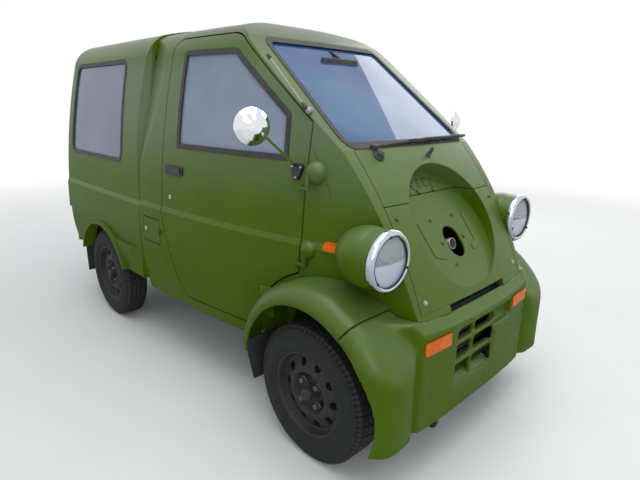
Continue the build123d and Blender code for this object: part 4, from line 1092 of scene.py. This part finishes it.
# Pale floor and backdrop, soft studio light
def studio():
    floor_coat = Finish("pale_floor", tone(226, 226, 223), 0.8)
    grain = floor_coat.noise(3.0, 4.0)
    floor_coat.feed("Base Color", floor_coat.mix(grain, tone(228, 228, 225), tone(221, 221, 218)))
    x, y, _ = floor_coat.axes()
    far = ((x * x + y * y) ** 0.5).clear_of(2.2, 7.0)
    glow = floor_coat.tree.nodes.new("ShaderNodeEmission")
    blend = floor_coat.tree.nodes.new("ShaderNodeMixShader")
    surface = floor_coat.tree.nodes["Material Output"].inputs["Surface"]
    floor_coat.place(blend.inputs[0], far)
    floor_coat.tree.links.new(floor_coat.shader.outputs[0], blend.inputs[1])
    floor_coat.tree.links.new(glow.outputs[0], blend.inputs[2])
    floor_coat.tree.links.new(blend.outputs[0], surface)
    bpy.ops.object.select_all(action="DESELECT")
    bpy.ops.mesh.primitive_plane_add(size=60.0, location=(0, 0, -0.002))
    floor = bpy.context.object
    floor.name = "studio_floor"
    floor.data.materials.append(floor_coat.material)
    floor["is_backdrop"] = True

    world = bpy.data.worlds.new("studio")
    bpy.context.scene.world = world
    world.use_nodes = True
    tree = world.node_tree
    tree.nodes.clear()
    output = tree.nodes.new("ShaderNodeOutputWorld")
    skies = []
    for colour, strength in (((0.86, 0.93, 1.0, 1.0), 0.55), ((1.0, 1.0, 1.0, 1.0), 1.0)):
        sky = tree.nodes.new("ShaderNodeBackground")
        sky.inputs["Color"].default_value = colour
        sky.inputs["Strength"].default_value = strength
        skies.append(sky.outputs[0])
    path = tree.nodes.new("ShaderNodeLightPath")
    backdrop_seen = path.outputs["Is Camera Ray"]
    for ray in ("Is Glossy Ray", "Is Transmission Ray"):
        either = tree.nodes.new("ShaderNodeMath")
        either.operation = "MAXIMUM"
        tree.links.new(backdrop_seen, either.inputs[0])
        tree.links.new(path.outputs[ray], either.inputs[1])
        backdrop_seen = either.outputs[0]
    mixer = tree.nodes.new("ShaderNodeMixShader")
    tree.links.new(backdrop_seen, mixer.inputs[0])
    tree.links.new(skies[0], mixer.inputs[1])
    tree.links.new(skies[1], mixer.inputs[2])
    tree.links.new(mixer.outputs[0], output.inputs["Surface"])

    aimed_at = Vector((0, -0.2, 0.7))
    lights = (
        # name, place, watts, size
        ("sky_panel", (-0.5, -1.0, 5.5), 190.0, 5.0),
        ("front_panel", (-3.0, -5.2, 3.4), 75.0, 3.5),
        ("far_panel", (4.5, 0.5, 3.0), 60.0, 3.0),
    )
    for name, place, watts, size in lights:
        data = bpy.data.lights.new(name, "AREA")
        data.energy = watts
        data.size = size
        light = bpy.data.objects.new(name, data)
        bpy.context.collection.objects.link(light)
        light.location = place
        light.rotation_euler = (aimed_at - Vector(place)).to_track_quat("-Z", "Y").to_euler()


def photo_camera():
    """The photograph's own viewpoint, worked out from the wheels and the body's known sizes."""
    yaw, pitch, roll = math.radians(44.57), math.radians(15.81), math.radians(0.78)
    place = (-1.6875, -2.1731, 1.3294)
    ahead = Vector((math.sin(yaw) * math.cos(pitch), math.cos(yaw) * math.cos(pitch), -math.sin(pitch)))
    level = Vector((math.cos(yaw), -math.sin(yaw), 0))
    upright = level.cross(ahead)
    right = math.cos(roll) * level + math.sin(roll) * upright
    up = -math.sin(roll) * level + math.cos(roll) * upright
    data = bpy.data.cameras.new("photo_camera")
    data.sensor_width = 36.0
    data.lens = 27.15
    data.clip_start = 0.05
    camera = bpy.data.objects.new("photo_camera", data)
    bpy.context.collection.objects.link(camera)
    turn = Matrix((right, up, -ahead)).transposed().to_4x4()
    camera.matrix_world = Matrix.Translation(place) @ turn
    bpy.context.scene.camera = camera


studio()
photo_camera()
bpy.context.scene.view_settings.view_transform = "Standard"
low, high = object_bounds()
